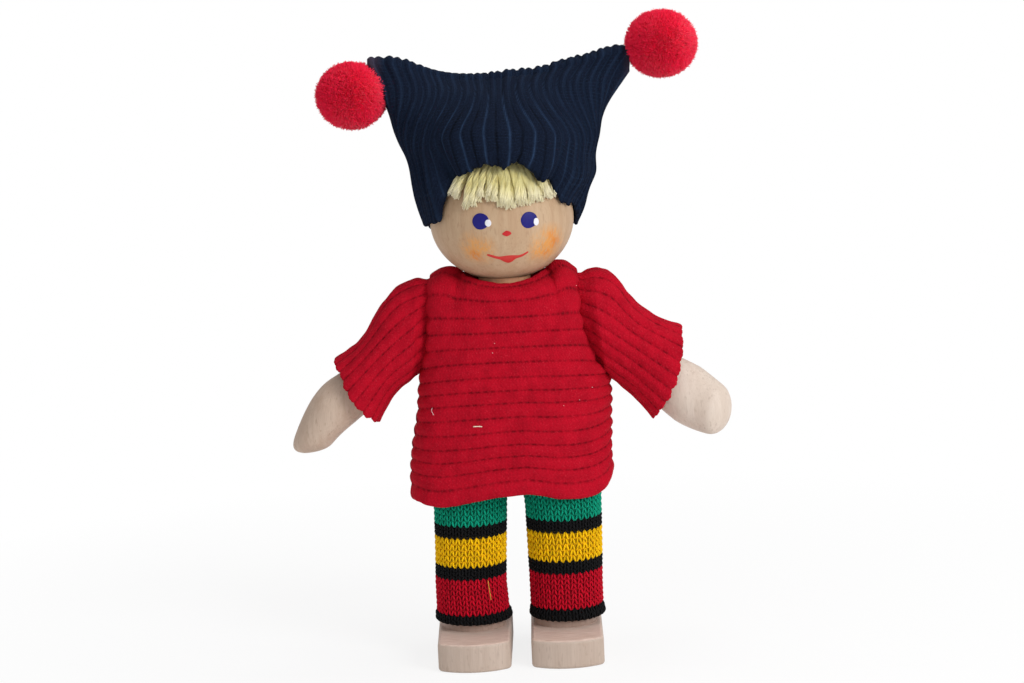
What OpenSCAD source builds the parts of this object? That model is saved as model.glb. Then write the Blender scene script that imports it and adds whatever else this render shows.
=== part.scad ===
// Jointed wooden dolls' house doll with its clothes: a turned head on a neck dowel, arms on
// shoulder forks, turning hands, legs on a hip peg, block feet, and a ribbed sweater, striped
// stockings and a hat with two points and pompoms.
// Millimetres. The origin is on the floor under the neck, +Z is up and the doll faces -Y, so
// its own right side is at -X.

/* [Head and neck] */
// Diameter of the turned head
head_d = 25; // [22:0.5:28]
// Height of the crown above the head's widest line
head_rise = 11.9; // [10.5:0.1:13]
// Depth of the chin below the head's widest line
chin_drop = 10.8; // [9.5:0.1:11.5]
// Diameter of the neck dowel
neck_d = 9.1; // [7:0.1:9.6]
// Neck that shows between the torso and the chin
neck_show = 2.8; // [2:0.1:6]
// Depth of the neck dowel in the torso
neck_sunk = 4.3; // [3:0.1:4.8]
// Length of the neck dowel in the head
neck_in_head = 8.4; // [5:0.1:11]

/* [Torso] */
// Height of the torso above the hip line
torso_rise = 24; // [23:0.5:30]
// Depth of the torso, front to back
torso_d = 11.2; // [11:0.1:12]
// Width of the torso across the shoulders
shoulder_w = 18; // [16:0.5:20]
// Distance of the shoulder line below the torso's top
shoulder_drop = 7; // [6.6:0.1:9]
// Wood outside each leg's slot
cheek_t = 2.2; // [2:0.1:4]
// Diameter of the hip peg
hip_peg_d = 3.2; // [2:0.1:4]

/* [Legs and feet] */
// Distance between the two legs' axes
leg_spacing = 16.2; // [15:0.1:19]
// Diameter of a leg
leg_d = 11.2; // [9:0.1:12]
// Length of a leg from the foot to the hip line
leg_l = 34.6; // [26:0.1:45]
// Thickness of the tongue on top of a leg
tongue_t = 4; // [3:0.1:5]
// Width of the tongue, front to back
tongue_w = 10.8; // [8:0.1:11]
// Height of a foot
foot_h = 5; // [4.6:0.1:10]
// Width of a foot
foot_w = 12.6; // [11:0.1:14]
// Length of a foot
foot_l = 26.1; // [22:0.1:28]
// Length of the foot behind the leg's axis
heel_l = 11.5; // [6.5:0.1:12.5]
// Radius of the foot's curved front, seen from above
toe_r = 10.4; // [7.5:0.1:14]
// Radius of the foot's rounded heel corners
heel_corner_r = 2.2; // [1:0.1:4]
// Softening of the foot's top and bottom edges
foot_edge = 0.6; // [0.2:0.1:1]
// Diameter of the ankle peg
ankle_peg_d = 4; // [3:0.1:5]
// Length of the ankle peg in the foot
ankle_in_foot = 3.4; // [3:0.1:4]
// Length of the ankle peg in the leg
ankle_in_leg = 6; // [4:0.1:9]

/* [Arms and hands] */
// Distance between the two shoulder pins
arm_spacing = 26; // [26:0.1:30]
// Angle of the right arm from straight down
right_arm_angle = 58; // [40:0.1:65]
// Angle of the left arm from straight down
left_arm_angle = 56.5; // [40:0.1:65]
// Diameter of an arm
arm_d = 6; // [5:0.1:6.4]
// Length from the shoulder pin to the hand
arm_l = 16; // [12:0.1:22]
// Diameter of a fork's round ears
fork_d = 6; // [5:0.1:6.2]
// Thickness of the arm's tongue between the ears
arm_tongue_t = 2.8; // [2:0.1:3]
// Diameter of the shoulder pin
shoulder_pin_d = 1.6; // [1.2:0.1:2]
// Diameter of a fork's stem
stem_d = 3.2; // [2.6:0.1:3.6]
// Length of a fork's stem in the torso
stem_l = 5.6; // [4:0.1:7]
// Diameter of the elastic between the forks
elastic_d = 1.6; // [1:0.1:1.8]
// Length of a hand along its middle
hand_l = 14.2; // [12:0.1:18]
// Width of a hand
hand_w = 10; // [9:0.1:11]
// Thickness of a hand
hand_t = 9; // [7:0.1:9.4]
// Diameter of a hand's round wrist, which sits in the cuff
wrist_d = 8.4; // [7:0.1:9]
// Angle that a hand bends through
hand_bend = 46; // [0:1:50]
// Turn of the left hand about its arm, against the right hand
left_hand_turn = -60; // [-90:5:180]
// Diameter of the spigot that a hand turns on
spigot_d = 3; // [2:0.1:3.6]
// Length of the spigot
spigot_l = 6; // [4:0.1:8]

/* [Stockings] */
// Outer diameter of a stocking
stocking_d = 12.6; // [12.4:0.1:13]
// Outer diameter of the rolled hem
hem_d = 13.2; // [12.8:0.1:13.8]
// Height of the rolled hem
hem_h = 1.6; // [1:0.1:2.5]
// Height of the stocking's hem above the foot
stocking_above_foot = 1.3; // [0.1:0.1:2]

/* [Sweater] */
// Thickness of the knit
knit_t = 1.4; // [1:0.1:1.6]
// Half width of the sweater at the hem
hem_half_w = 17.4; // [16.5:0.1:20]
// Half width of the sweater at the armpits
armpit_half_w = 15.8; // [15.5:0.1:16.5]
// Half width of the sweater at the chest
chest_half_w = 15; // [14.5:0.1:15.5]
// Half width of the shoulder seam
shoulder_half_w = 12.8; // [12:0.1:13.2]
// Half depth of the sweater at the hem
hem_half_d = 9.9; // [9.2:0.1:11]
// Half depth of the sweater at the chest
chest_half_d = 8.8; // [8.4:0.1:9.4]
// Distance of the hem below the hip line
hem_below_hip = 9.6; // [6:0.1:14]
// Rise of the hem from the right side to the left
hem_tilt = 3.4; // [0:0.1:5]
// Depth of the hem's waves
hem_wave = 0.5; // [0:0.1:1]
// Distance of the armpits below the shoulder line
armpit_below = 8.1; // [7.8:0.1:8.6]
// Height of the shoulder seam's outer end above the shoulder line
seam_above = 11.2; // [9:0.1:12]
// Half width of the neck opening
collar_half_w = 7.2; // [6.4:0.1:8]
// Half depth of the neck opening
collar_half_d = 6.6; // [6:0.1:7.2]
// Height of the collar's front above the torso
collar_rise = 3; // [1.8:0.1:3.4]
// Rise of the collar's sides above its front
collar_side_rise = 1.2; // [0:0.1:1.8]
// Swell of the shoulders between the collar and the sleeve
shoulder_swell = 1.2; // [0:0.1:1.6]
// Rise of the collar's back above its front
collar_back_rise = 0.5; // [0:0.1:0.6]
// Thickness of the sleeves
sleeve_t = 1; // [0.6:0.1:1.2]
// Height that a sleeve's gathered head puffs above the straight line to its cuff
sleeve_puff = 2.6; // [0:0.1:4]
// Half depth of a sleeve at the shoulder
sleeve_root_half_d = 6.2; // [5.6:0.1:6.8]
// Half depth of a sleeve at the cuff
cuff_half_d = 6.4; // [6:0.1:7]
// Right cuff's upper edge: distance past the arm's end, then above the arm
right_cuff_top = [0, 7.8]; // [-4:0.1:12]
// Right cuff's lower edge: distance past the arm's end, then below the arm
right_cuff_low = [0.6, 5.4]; // [-4:0.1:12]
// Left cuff's upper edge: distance past the arm's end, then above the arm
left_cuff_top = [-1.7, 10]; // [-4:0.1:12]
// Left cuff's lower edge: distance past the arm's end, then below the arm
left_cuff_low = [2.9, 5.8]; // [-4:0.1:12]

/* [Hat] */
// Thickness of the hat's knit
hat_t = 1; // [0.6:0.1:1.4]
// Height of the brim above the head's widest line at the front
brim_front_rise = 9.9; // [8:0.1:10.4]
// Depth of the brim below the head's widest line at the sides
brim_side_drop = 1; // [0:0.1:3]
// Depth of the brim below the head's widest line at the back
brim_back_drop = 2.2; // [1:0.1:4.5]
// Height of the top seam's middle above the head's widest line
seam_rise = 25.2; // [22:0.1:30]
// Half widths that the hat's lower sides swell towards, right and left
belly_half_w = [15.9, 20.1]; // [15:0.1:22]
// Half widths that the hat's upper sides draw in towards, right and left
crown_half_w = [16.2, 13.4]; // [12:0.1:18]
// Half depth that the hat's lower front swells towards
belly_front_d = 13.4; // [13:0.1:15]
// Half depth that the hat's lower back swells towards
belly_back_d = 15.5; // [14.5:0.1:17]
// Half depth that the hat's upper front and back draw in towards
crown_half_d = 9.6; // [8:0.1:12]
// Thickness of the flat top seam
seam_t = 2.2; // [1.6:0.1:3]
// Reach of the right point from the middle
right_point_reach = 20.6; // [18:0.1:24]
// Reach of the left point from the middle
left_point_reach = 23.2; // [20:0.1:26]
// Height of the right point's corner above the seam's middle
right_corner_rise = 3; // [1:0.1:5]
// Height of the left point's corner above the seam's middle
left_corner_rise = 3.1; // [1:0.1:5]
// Height of the right point's edge
right_point_h = 3.6; // [3:0.1:8]
// Height of the left point's edge
left_point_h = 3.4; // [3:0.1:8]

/* [Pompoms and fringe] */
// Diameter of a pompom
pompom_d = 12.6; // [10:0.1:14]
// Drop of the right pompom below the middle of its point's edge
right_pompom_drop = 4.2; // [0:0.1:5]
// Rise of the left pompom above the middle of its point's edge
left_pompom_rise = 2; // [0:0.1:4]
// Diameter of the thread that ties a pompom on
tie_d = 0.8; // [0.5:0.1:1]
// Half of the angle that the fringe covers around the head
fringe_half_angle = 47; // [30:1:55]
// Number of yarn strands in the fringe
fringe_strands = 9; // [5:1:13]
// Thickness of the fringe
fringe_t = 1.6; // [1:0.1:2]
// Height of the fringe's lower edge above the head's widest line
fringe_low = 2.9; // [1:0.1:4.5]

/* [Hidden] */
$fn = 64;

// Radial clearance of a shaft that turns
turn_gap = 0.05;
// Radial clearance of a glued peg
glue_gap = 0.02;
// Clearance between a tongue and the walls of its slot
slot_gap = 0.1;
// Clearance between faces of pieces that move past each other
face_gap = 0.1;
// Clearance between pieces of cloth, and between cloth and wood
cloth_gap = 0.55;
// Clearance of the hat and the fringe from the head
head_gap = 0.15;
// Clearance of the top of a leg from the torso
thigh_gap = 0.7;
// Softening of a wooden edge
edge = 0.4;
// Overrun of a cut past the face that it cuts
over = 0.5;

hip_z = foot_h + leg_l;
torso_top = hip_z + torso_rise;
shoulder_z = torso_top - shoulder_drop;
head_z = torso_top + neck_show + chin_drop;
leg_x = leg_spacing / 2;
arm_x = arm_spacing / 2;
slot_w = tongue_t + 2 * slot_gap;
hip_w = leg_spacing + slot_w + 2 * cheek_t;
thigh_z = hip_z - torso_d / 2 - thigh_gap;
neck_low = torso_top - neck_sunk;
neck_high = head_z - chin_drop + neck_in_head;
armpit_z = shoulder_z - armpit_below;
seam_z = shoulder_z + seam_above;
hem_z = hip_z - hem_below_hip;
chest_z = shoulder_z + seam_above / 3;
collar_z = torso_top + collar_rise;

function lerp(a, b, share) = a + (b - a) * share;
function clamped(x) = max(0, min(1, x));
function eased(x) = let (t = clamped(x)) t * t * (3 - 2 * t);
function bezier(a, b, c, d, t) =
    a * (1 - t) ^ 3 + b * 3 * t * (1 - t) ^ 2 + c * 3 * t ^ 2 * (1 - t) + d * t ^ 3;
// A cosine or sine squared off, as the corners of a rounded rectangle need
function squared(x, power) = sign(x) * abs(x) ^ power;

// Skins rings of equally many points as one closed solid. The points run right-handed about
// the way that the rings advance. Rings that return, as a tube's outside and then its inside
// do, are joined last to first, and others get a cap at each end.
module loft(rings, returns = false) {
    around = len(rings[0]);
    count = len(rings);
    points = [for (ring = rings) each ring];
    skin = [
        for (r = [0 : returns ? count - 1 : count - 2], c = [0 : around - 1])
            let (
                low = r * around,
                high = (r + 1) % count * around,
                next = (c + 1) % around
            )
            each [[low + c, high + c, high + next], [low + c, high + next, low + next]]
    ];
    top = (count - 1) * around;
    caps = returns ? [] : [
        for (c = [0 : around / 2 - 1])
            let (a = c, b = c + 1, d = around - c - 1, e = (around - c) % around)
            each concat(
                b == d ? [] : [[a, b, d], [top + a, top + d, top + b]],
                a == e ? [] : [[a, d, e], [top + a, top + e, top + d]]
            )
    ];
    polyhedron(points, concat(skin, caps));
}

// Closes an outer and an inner grid of points into one sheet with a thickness. Seen from
// outside, the rows go up and their points go to the right.
module sheet(outer, inner) {
    rows = len(outer);
    cols = len(outer[0]);
    back = rows * cols;
    points = concat([for (row = outer) each row], [for (row = inner) each row]);
    faces = [
        for (r = [0 : rows - 2], c = [0 : cols - 2])
            let (a = r * cols + c, b = a + 1, d = a + cols, e = d + 1)
            each [
                [a, d, e], [a, e, b],
                [back + a, back + e, back + d], [back + a, back + b, back + e]
            ]
    ];
    low_and_high = [
        for (c = [0 : cols - 2])
            let (a = c, b = c + 1, d = (rows - 1) * cols + c, e = d + 1)
            each [
                [a, b, back + b], [a, back + b, back + a],
                [d, back + e, e], [d, back + d, back + e]
            ]
    ];
    sides = [
        for (r = [0 : rows - 2])
            let (a = r * cols, b = a + cols, d = a + cols - 1, e = b + cols - 1)
            each [
                [a, back + b, b], [a, back + a, back + b],
                [d, e, back + e], [d, back + e, back + d]
            ]
    ];
    polyhedron(points, concat(faces, low_and_high, sides));
}

// Places a piece that is drawn hanging from the shoulder pin, for one arm
module on_arm(side) {
    angle = side < 0 ? right_arm_angle : left_arm_angle;
    translate([side * arm_x, 0, shoulder_z]) rotate([0, -side * angle, 0]) children();
}

// Torso: a block with a slot for each leg's tongue, a cross bore and a socket for the neck
module torso() {
    shoulder_cut = torso_top - shoulder_z - stem_d;
    waist_share = 0.3;
    neck_wall = (torso_d - neck_d) / 2 * 0.8;
    waist_z = lerp(hip_z, shoulder_z, waist_share);
    color("burlywood")
    difference() {
        intersection() {
            rotate([90, 0, 0])
                linear_extrude(torso_d, center = true)
                    polygon([
                        [-hip_w / 2 + edge, hip_z - torso_d],
                        [hip_w / 2 - edge, hip_z - torso_d],
                        [hip_w / 2, hip_z],
                        [hip_w / 2, waist_z],
                        [shoulder_w / 2, shoulder_z - fork_d],
                        [shoulder_w / 2, torso_top - shoulder_cut],
                        [shoulder_w / 2 - shoulder_cut, torso_top],
                        [-shoulder_w / 2 + shoulder_cut, torso_top],
                        [-shoulder_w / 2, torso_top - shoulder_cut],
                        [-shoulder_w / 2, shoulder_z - fork_d],
                        [-hip_w / 2, waist_z],
                        [-hip_w / 2, hip_z]
                    ]);
            union() {
                translate([0, 0, hip_z]) rotate([0, 90, 0])
                    cylinder(h = hip_w + over, d = torso_d, center = true);
                rotate([90, 0, 90])
                    linear_extrude(hip_w + over, center = true)
                        polygon([
                            [-torso_d / 2, hip_z],
                            [torso_d / 2, hip_z],
                            [torso_d / 2, torso_top - shoulder_cut],
                            [torso_d / 2 - neck_wall, torso_top],
                            [-torso_d / 2 + neck_wall, torso_top],
                            [-torso_d / 2, torso_top - shoulder_cut]
                        ]);
            }
        }
        for (side = [-1, 1])
            translate([side * leg_x - slot_w / 2, -torso_d / 2 - over, hip_z - torso_d])
                cube([slot_w, torso_d + 2 * over, torso_d + tongue_w / 2 + cloth_gap]);
        translate([0, 0, hip_z]) rotate([0, 90, 0])
            cylinder(h = hip_w + 2 * over, d = hip_peg_d + 2 * glue_gap, center = true);
        translate([0, 0, shoulder_z]) rotate([0, 90, 0])
            cylinder(h = shoulder_w + 2 * over, d = stem_d + 2 * turn_gap, center = true);
        translate([0, 0, neck_low])
            cylinder(h = neck_sunk + over, d = neck_d + 2 * glue_gap);
    }
}

// Round bar between two heights, with its upper edge softened
module dowel(low, high, d) {
    rotate_extrude()
        polygon([[0, low], [d / 2, low], [d / 2, high - edge], [d / 2 - edge, high], [0, high]]);
}

// Dowel that is glued in the torso and that the head turns on
module neck_dowel() {
    color("tan") dowel(neck_low, neck_high, neck_d);
}

// Peg through the hips that both legs swing on
module hip_peg() {
    color("tan")
    translate([0, 0, hip_z]) rotate([0, 90, 0])
        cylinder(h = hip_w, d = hip_peg_d, center = true);
}

// Elastic in the cross bore that draws the two shoulder forks together
module arm_elastic() {
    color("white")
    translate([0, 0, shoulder_z]) rotate([0, 90, 0])
        cylinder(h = shoulder_w - stem_l, d = elastic_d, center = true);
}

// Head: a turned ball, a little flattened under the chin, with a socket for the neck dowel
module head() {
    steps = 40;
    color("wheat")
    difference() {
        translate([0, 0, head_z])
            rotate_extrude()
                polygon([
                    for (i = [0 : steps])
                        let (a = 90 - 180 * i / steps)
                        [head_d / 2 * cos(a), (a > 0 ? head_rise : chin_drop) * sin(a)]
                ]);
        translate([0, 0, head_z - chin_drop - over])
            cylinder(h = neck_in_head + face_gap + over, d = neck_d + 2 * turn_gap);
    }
}

// Radius of the head, grown by a thickness, at a height above its widest line
function head_r(rise, grown) =
    (head_d / 2 + grown) * (rise > 0 ? sqrt(max(0, 1 - (rise / (head_rise + grown)) ^ 2)) : 1);

// Fringe of yarn strands glued side by side on the forehead
module hair_fringe() {
    per_strand = 6;
    cols = fringe_strands * per_strand;
    rows = 7;
    top_angle = 60;
    low_angle = asin(fringe_low / head_rise);
    ends_up = 5;
    strand_dip_share = 0.32;

    function fringe_point(row, col, outside) =
        let (
            across = 2 * col / cols - 1,
            round_share = abs(sin(180 * col / per_strand)),
            thick = fringe_t * lerp(1 - strand_dip_share, 1, round_share),
            grown = head_gap + (outside ? thick : 0),
            low = low_angle + ends_up * (across ^ 2 + 2 * strand_dip_share * (1 - round_share)),
            up = lerp(low, top_angle, row / rows),
            turn = fringe_half_angle * across
        )
        [
            (head_d / 2 + grown) * cos(up) * sin(turn),
            -(head_d / 2 + grown) * cos(up) * cos(turn),
            head_z + (head_rise + grown) * sin(up)
        ];

    color("khaki")
    sheet(
        [for (row = [0 : rows]) [for (col = [0 : cols]) fringe_point(row, col, true)]],
        [for (row = [0 : rows]) [for (col = [0 : cols]) fringe_point(row, col, false)]]
    );
}

// Share of the way from the front of the head, where the brim is high, to the side
function brim_share(turn) =
    let (from_front = abs((turn + 90 + 180) % 360 - 180)) eased((from_front - 22) / 34);

// Brim of the hat: it hugs the head, and over the fringe it lies on the strands
function brim_point(turn, inside) =
    let (
        share = brim_share(turn),
        rise = lerp(
            lerp(brim_front_rise, -brim_side_drop, share),
            -brim_back_drop,
            max(0, sin(turn))
        ),
        grown = 3 * head_gap + fringe_t * (1 - brim_share(turn) ^ 2) + (inside ? 0 : hat_t),
        r = head_r(rise - grown / 2 * (1 - share), grown)
    )
    [r * cos(turn), r * sin(turn), head_z + rise];

// Top seam of the hat: sewn flat, sagging in the middle, with a short edge at each point
function seam_point(turn, inside) =
    let (
        left = cos(turn) > 0,
        reach = (left ? left_point_reach : right_point_reach) - (inside ? 3 * hat_t : 0),
        corner = left ? left_corner_rise : right_corner_rise,
        edge_h = (left ? left_point_h : right_point_h) - (inside ? hat_t : 0),
        corner_share = 0.93,
        along = min(1, abs(cos(turn)) / corner_share),
        down = max(0, (abs(cos(turn)) - corner_share) / (1 - corner_share)),
        half_t = seam_t / 2 - (inside ? hat_t * 0.8 : 0)
    )
    [
        sign(cos(turn)) * reach * along,
        half_t * sign(sin(turn)) * min(1, abs(sin(turn)) / sin(20)),
        head_z + seam_rise + corner * along ^ 2 - edge_h * down - (inside ? 2 * hat_t : 0)
    ];

// A ring that guides the hat's sides between the brim and the seam. Rises are shares of the
// seam's rise, at the points' side and at the front and back.
function guide_point(turn, half_w, front_d, back_d, side_shares, middle_share, inside) =
    let (
        less = inside ? hat_t : 0,
        k = cos(turn) > 0 ? 1 : 0,
        rise_share = lerp(middle_share, side_shares[k], cos(turn) ^ 2)
    )
    [
        (half_w[k] - less) * cos(turn),
        ((sin(turn) > 0 ? back_d : front_d) - less) * sin(turn),
        head_z + seam_rise * rise_share - less
    ];

function hat_ring(up, inside) =
    let (
        around = 40,
        belly_shares = [0.52, 0.56],
        crown_shares = [0.47, 0.5]
    )
    [
        for (i = [0 : around - 1])
            let (turn = 360 * i / around)
            bezier(
                brim_point(turn, inside),
                guide_point(turn, belly_half_w, belly_front_d, belly_back_d, belly_shares, 0.52, inside),
                guide_point(turn, crown_half_w, crown_half_d, crown_half_d, crown_shares, 0.85, inside),
                seam_point(turn, inside),
                up
            )
    ];

// Hat: one tube of rib knit around the head, sewn flat across the top so that its two corners
// stand out as points
module hat() {
    rings = 12;
    cavity_share = 0.9;
    color("midnightblue")
    difference() {
        loft(concat(
            [for (i = [rings : -1 : 0]) hat_ring(cavity_share * i / rings, true)],
            [for (i = [0 : rings]) hat_ring(i / rings, false)]
        ));
        for (side = [-1, 1]) {
            translate(pompom_centre(side)) sphere(d = pompom_d + 2 * glue_gap);
            tie_line(side) cylinder(h = tie_l, d = tie_d + 2 * glue_gap);
        }
    }
}

// Middle of the edge of one point of the hat
function point_middle(side) = [
    side * (side < 0 ? right_point_reach : left_point_reach),
    0,
    head_z + seam_rise + (side < 0 ? right_corner_rise : left_corner_rise)
        - (side < 0 ? right_point_h : left_point_h) / 2
];

// Centre of a pompom: its ball touches the middle of the point's edge
function pompom_centre(side) =
    let (
        up = side < 0 ? -right_pompom_drop : left_pompom_rise,
        out = sqrt((pompom_d / 2) ^ 2 - up ^ 2)
    )
    point_middle(side) + [side * out, 0, up];

tie_l = pompom_d / 2 + hat_t * 2;

// Draws along the line from a pompom's centre into the hat's point
module tie_line(side) {
    to = point_middle(side) - pompom_centre(side);
    translate(pompom_centre(side))
        rotate([0, atan2(to[0], to[2]), 0])
            children();
}

// Pompom: a ball of cut yarn with a hole for the thread that ties it on
module pompom(side) {
    color("crimson")
    difference() {
        translate(pompom_centre(side)) sphere(d = pompom_d);
        tie_line(side) cylinder(h = tie_l, d = tie_d + 2 * glue_gap);
    }
}

// Thread that ties a pompom to the hat's point
module pompom_tie(side) {
    color("crimson") tie_line(side) cylinder(h = tie_l, d = tie_d);
}

// Fork that turns in the torso's cross bore and holds the arm's tongue between two ears
module shoulder_fork(side) {
    base_x = shoulder_w / 2 + face_gap;
    tongue_room = fork_d / 2 + slot_gap;
    color("burlywood")
    difference() {
        union() {
            translate([side * arm_x, 0, shoulder_z]) rotate([90, 0, 0])
                cylinder(h = fork_d, d = fork_d, center = true);
            translate([side < 0 ? -arm_x : base_x, -fork_d / 2, shoulder_z - fork_d / 2])
                cube([arm_x - base_x, fork_d, fork_d]);
            translate([side * (base_x - stem_l), 0, shoulder_z]) rotate([0, side * 90, 0])
                cylinder(h = stem_l + edge, d = stem_d);
        }
        translate([side * arm_x, 0, shoulder_z]) {
            rotate([90, 0, 0])
                cylinder(h = arm_tongue_t + 2 * slot_gap, r = tongue_room, center = true);
            translate([side < 0 ? -fork_d : 0, -arm_tongue_t / 2 - slot_gap, -fork_d / 2 - over])
                cube([fork_d, arm_tongue_t + 2 * slot_gap, fork_d + 2 * over]);
            translate([-fork_d / 2, -arm_tongue_t / 2 - slot_gap, -fork_d / 2 - over])
                cube([fork_d, arm_tongue_t + 2 * slot_gap, fork_d / 2 + over]);
            rotate([90, 0, 0])
                cylinder(h = fork_d + 2 * over, d = shoulder_pin_d + 2 * glue_gap, center = true);
        }
        translate([side * (base_x - stem_l - over), 0, shoulder_z]) rotate([0, side * 90, 0])
            cylinder(h = stem_l / 2 + over, d = elastic_d + 2 * turn_gap);
    }
}

// Pin through the fork's ears, across the arm's tongue
module shoulder_pin(side) {
    color("silver")
    translate([side * arm_x, 0, shoulder_z]) rotate([90, 0, 0])
        cylinder(h = fork_d, d = shoulder_pin_d, center = true);
}

// Arm: a dowel with a tongue for the shoulder pin and a socket for the hand
module arm(side) {
    tongue_r = fork_d / 2 - slot_gap;
    neck_r = tongue_r * 0.8;
    shoulder = fork_d / 2 + thigh_gap;
    color("burlywood")
    on_arm(side)
    difference() {
        union() {
            rotate([90, 0, 0]) cylinder(h = arm_tongue_t, r = tongue_r, center = true);
            translate([-neck_r, -arm_tongue_t / 2, -shoulder - edge])
                cube([2 * neck_r, arm_tongue_t, shoulder + edge]);
            dowel(-arm_l, -shoulder, arm_d);
        }
        rotate([90, 0, 0])
            cylinder(h = arm_tongue_t + 2 * over, d = shoulder_pin_d + 2 * turn_gap, center = true);
        translate([0, 0, -arm_l - over])
            cylinder(h = spigot_l + face_gap + over, d = spigot_d + 2 * turn_gap);
    }
}

// Hand: a smooth wooden mitten that bends like a cupped palm, on a spigot that turns in the arm
module hand(side) {
    turn = side < 0 ? 0 : left_hand_turn;
    straight_share = 0.22;
    sections = 18;
    straight_sections = 11;
    around = 32;
    tip_share = 0.02;
    wrist_share = 0.25;
    width_shares = [0.84, 0.86, 0.93, 1, 0.98, 0.93, 0.87, 0.8];
    thick_shares = [0.955, 0.97, 1, 0.99, 0.95, 0.9, 0.84, 0.77];
    end_share = 0.22;
    bent_l = hand_l * (1 - straight_share);
    bend_r = bent_l / (max(hand_bend, 1) * PI / 180);

    function share_at(shares, t) =
        let (place = min(t, 1) * (len(shares) - 1), low = min(floor(place), len(shares) - 2))
        lerp(shares[low], shares[low + 1], place - low);
    // Place and heading, in degrees, of the hand's middle line at a length along it
    function middle(l) =
        l < hand_l - bent_l
            ? [0, -l, 0]
            : let (a = (l - hand_l + bent_l) / bend_r * 180 / PI)
              [bend_r * (1 - cos(a)), -(hand_l - bent_l) - bend_r * sin(a), a];
    function section(t) =
        let (
            end_t = max(0, (t - 1 + end_share) / end_share),
            round_end = sqrt(max(tip_share, 1 - end_t ^ 2.6)),
            grown = eased(t / wrist_share),
            m = middle(hand_l * t),
            thick = lerp(wrist_d, hand_t * share_at(thick_shares, t), grown) / 2 * round_end,
            wide = lerp(wrist_d, hand_w * share_at(width_shares, t), grown) / 2 * round_end
        )
        [
            for (i = [0 : around - 1])
                let (a = 360 * i / around, out = thick * cos(a))
                [m[0] + out * cos(m[2]), -wide * sin(a), m[1] + out * sin(m[2])]
        ];
    // Sections lie closer together round the tip
    function section_t(i) =
        i < straight_sections
            ? (1 - end_share) * i / straight_sections
            : 1 - end_share + end_share * sin(90 * (i - straight_sections) / (sections - straight_sections));

    color("antiquewhite")
    on_arm(side)
    translate([0, 0, -arm_l - face_gap]) rotate([0, 0, turn]) {
        loft([for (i = [0 : sections]) section(section_t(i))]);
        cylinder(h = spigot_l + face_gap, d = spigot_d);
    }
}

// Leg: a dowel with a tongue that swings on the hip peg and a socket for the ankle peg
module leg(side) {
    color("burlywood")
    translate([side * leg_x, 0, 0])
    difference() {
        union() {
            dowel(foot_h, thigh_z, leg_d);
            translate([-tongue_t / 2, -tongue_w / 2 + edge, thigh_z - edge])
                cube([tongue_t, tongue_w - 2 * edge, hip_z - thigh_z + edge]);
            translate([0, 0, hip_z]) rotate([0, 90, 0])
                cylinder(h = tongue_t, d = tongue_w, center = true);
        }
        translate([0, 0, hip_z]) rotate([0, 90, 0])
            cylinder(h = tongue_t + 2 * over, d = hip_peg_d + 2 * turn_gap, center = true);
        translate([0, 0, foot_h - over])
            cylinder(h = ankle_in_leg + face_gap + over, d = ankle_peg_d + 2 * glue_gap);
    }
}

// Peg that joins a leg to its foot
module ankle_peg(side) {
    color("tan")
    translate([side * leg_x, 0, foot_h - ankle_in_foot])
        cylinder(h = ankle_in_foot + ankle_in_leg, d = ankle_peg_d);
}

// Outline of a foot from above: rounded heel corners and a front that bows forward
function foot_outline(inset) =
    let (
        corner = heel_corner_r - inset,
        half_w = foot_w / 2 - inset,
        front_r = toe_r - inset,
        front_y = heel_l - foot_l + toe_r,
        reach = asin(min(1, (half_w - toe_corner()) / (front_r - toe_corner()))),
        corner_y = front_y - (front_r - toe_corner()) * cos(reach)
    )
    concat(
        [for (i = [0 : 4]) let (a = 90 * i / 4)
            [half_w - corner + corner * cos(a), heel_l - inset - corner + corner * sin(a)]],
        [for (i = [0 : 4]) let (a = 90 + 90 * i / 4)
            [-half_w + corner + corner * cos(a), heel_l - inset - corner + corner * sin(a)]],
        [for (i = [0 : 4]) let (a = 180 + (90 - reach) * i / 4)
            [-half_w + toe_corner() + toe_corner() * cos(a), corner_y + toe_corner() * sin(a)]],
        [for (i = [1 : 15]) let (a = lerp(-reach, reach, i / 16))
            [front_r * sin(a), front_y - front_r * cos(a)]],
        [for (i = [0 : 4]) let (a = 270 + reach + (90 - reach) * i / 4)
            [half_w - toe_corner() + toe_corner() * cos(a), corner_y + toe_corner() * sin(a)]]
    );
function toe_corner() = heel_corner_r / 2;

// Foot: a wooden block with softened edges and a socket for the ankle peg
module foot(side) {
    color("bisque")
    translate([side * leg_x, 0, 0])
    difference() {
        hull() {
            linear_extrude(foot_h) polygon(foot_outline(foot_edge));
            translate([0, 0, foot_edge * 0.3]) linear_extrude(foot_h - foot_edge * 0.6)
                polygon(foot_outline(foot_edge * 0.3));
            translate([0, 0, foot_edge]) linear_extrude(foot_h - 2 * foot_edge)
                polygon(foot_outline(0));
        }
        translate([0, 0, foot_h - ankle_in_foot])
            cylinder(h = ankle_in_foot + over, d = ankle_peg_d + 2 * glue_gap);
    }
}

// Stocking: a knitted tube up the leg, with a hem that rolls outward over the foot
module stocking(side) {
    inner_r = leg_d / 2 + glue_gap;
    roll_r = hem_h / 2;
    low_z = foot_h + stocking_above_foot;
    color("mediumseagreen")
    translate([side * leg_x, 0, 0])
    rotate_extrude()
        polygon(concat(
            [[inner_r, low_z]],
            [for (i = [0 : 8])
                let (a = -90 + 180 * i / 8)
                [
                    stocking_d / 2 + (hem_d - stocking_d) / 2 * cos(a),
                    low_z + roll_r + roll_r * sin(a)
                ]],
            [
                [stocking_d / 2, low_z + 2 * hem_h],
                [stocking_d / 2, thigh_z - 2 * edge],
                [stocking_d / 2 - edge / 2, thigh_z - edge],
                [inner_r, thigh_z - edge]
            ]
        ));
}

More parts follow.
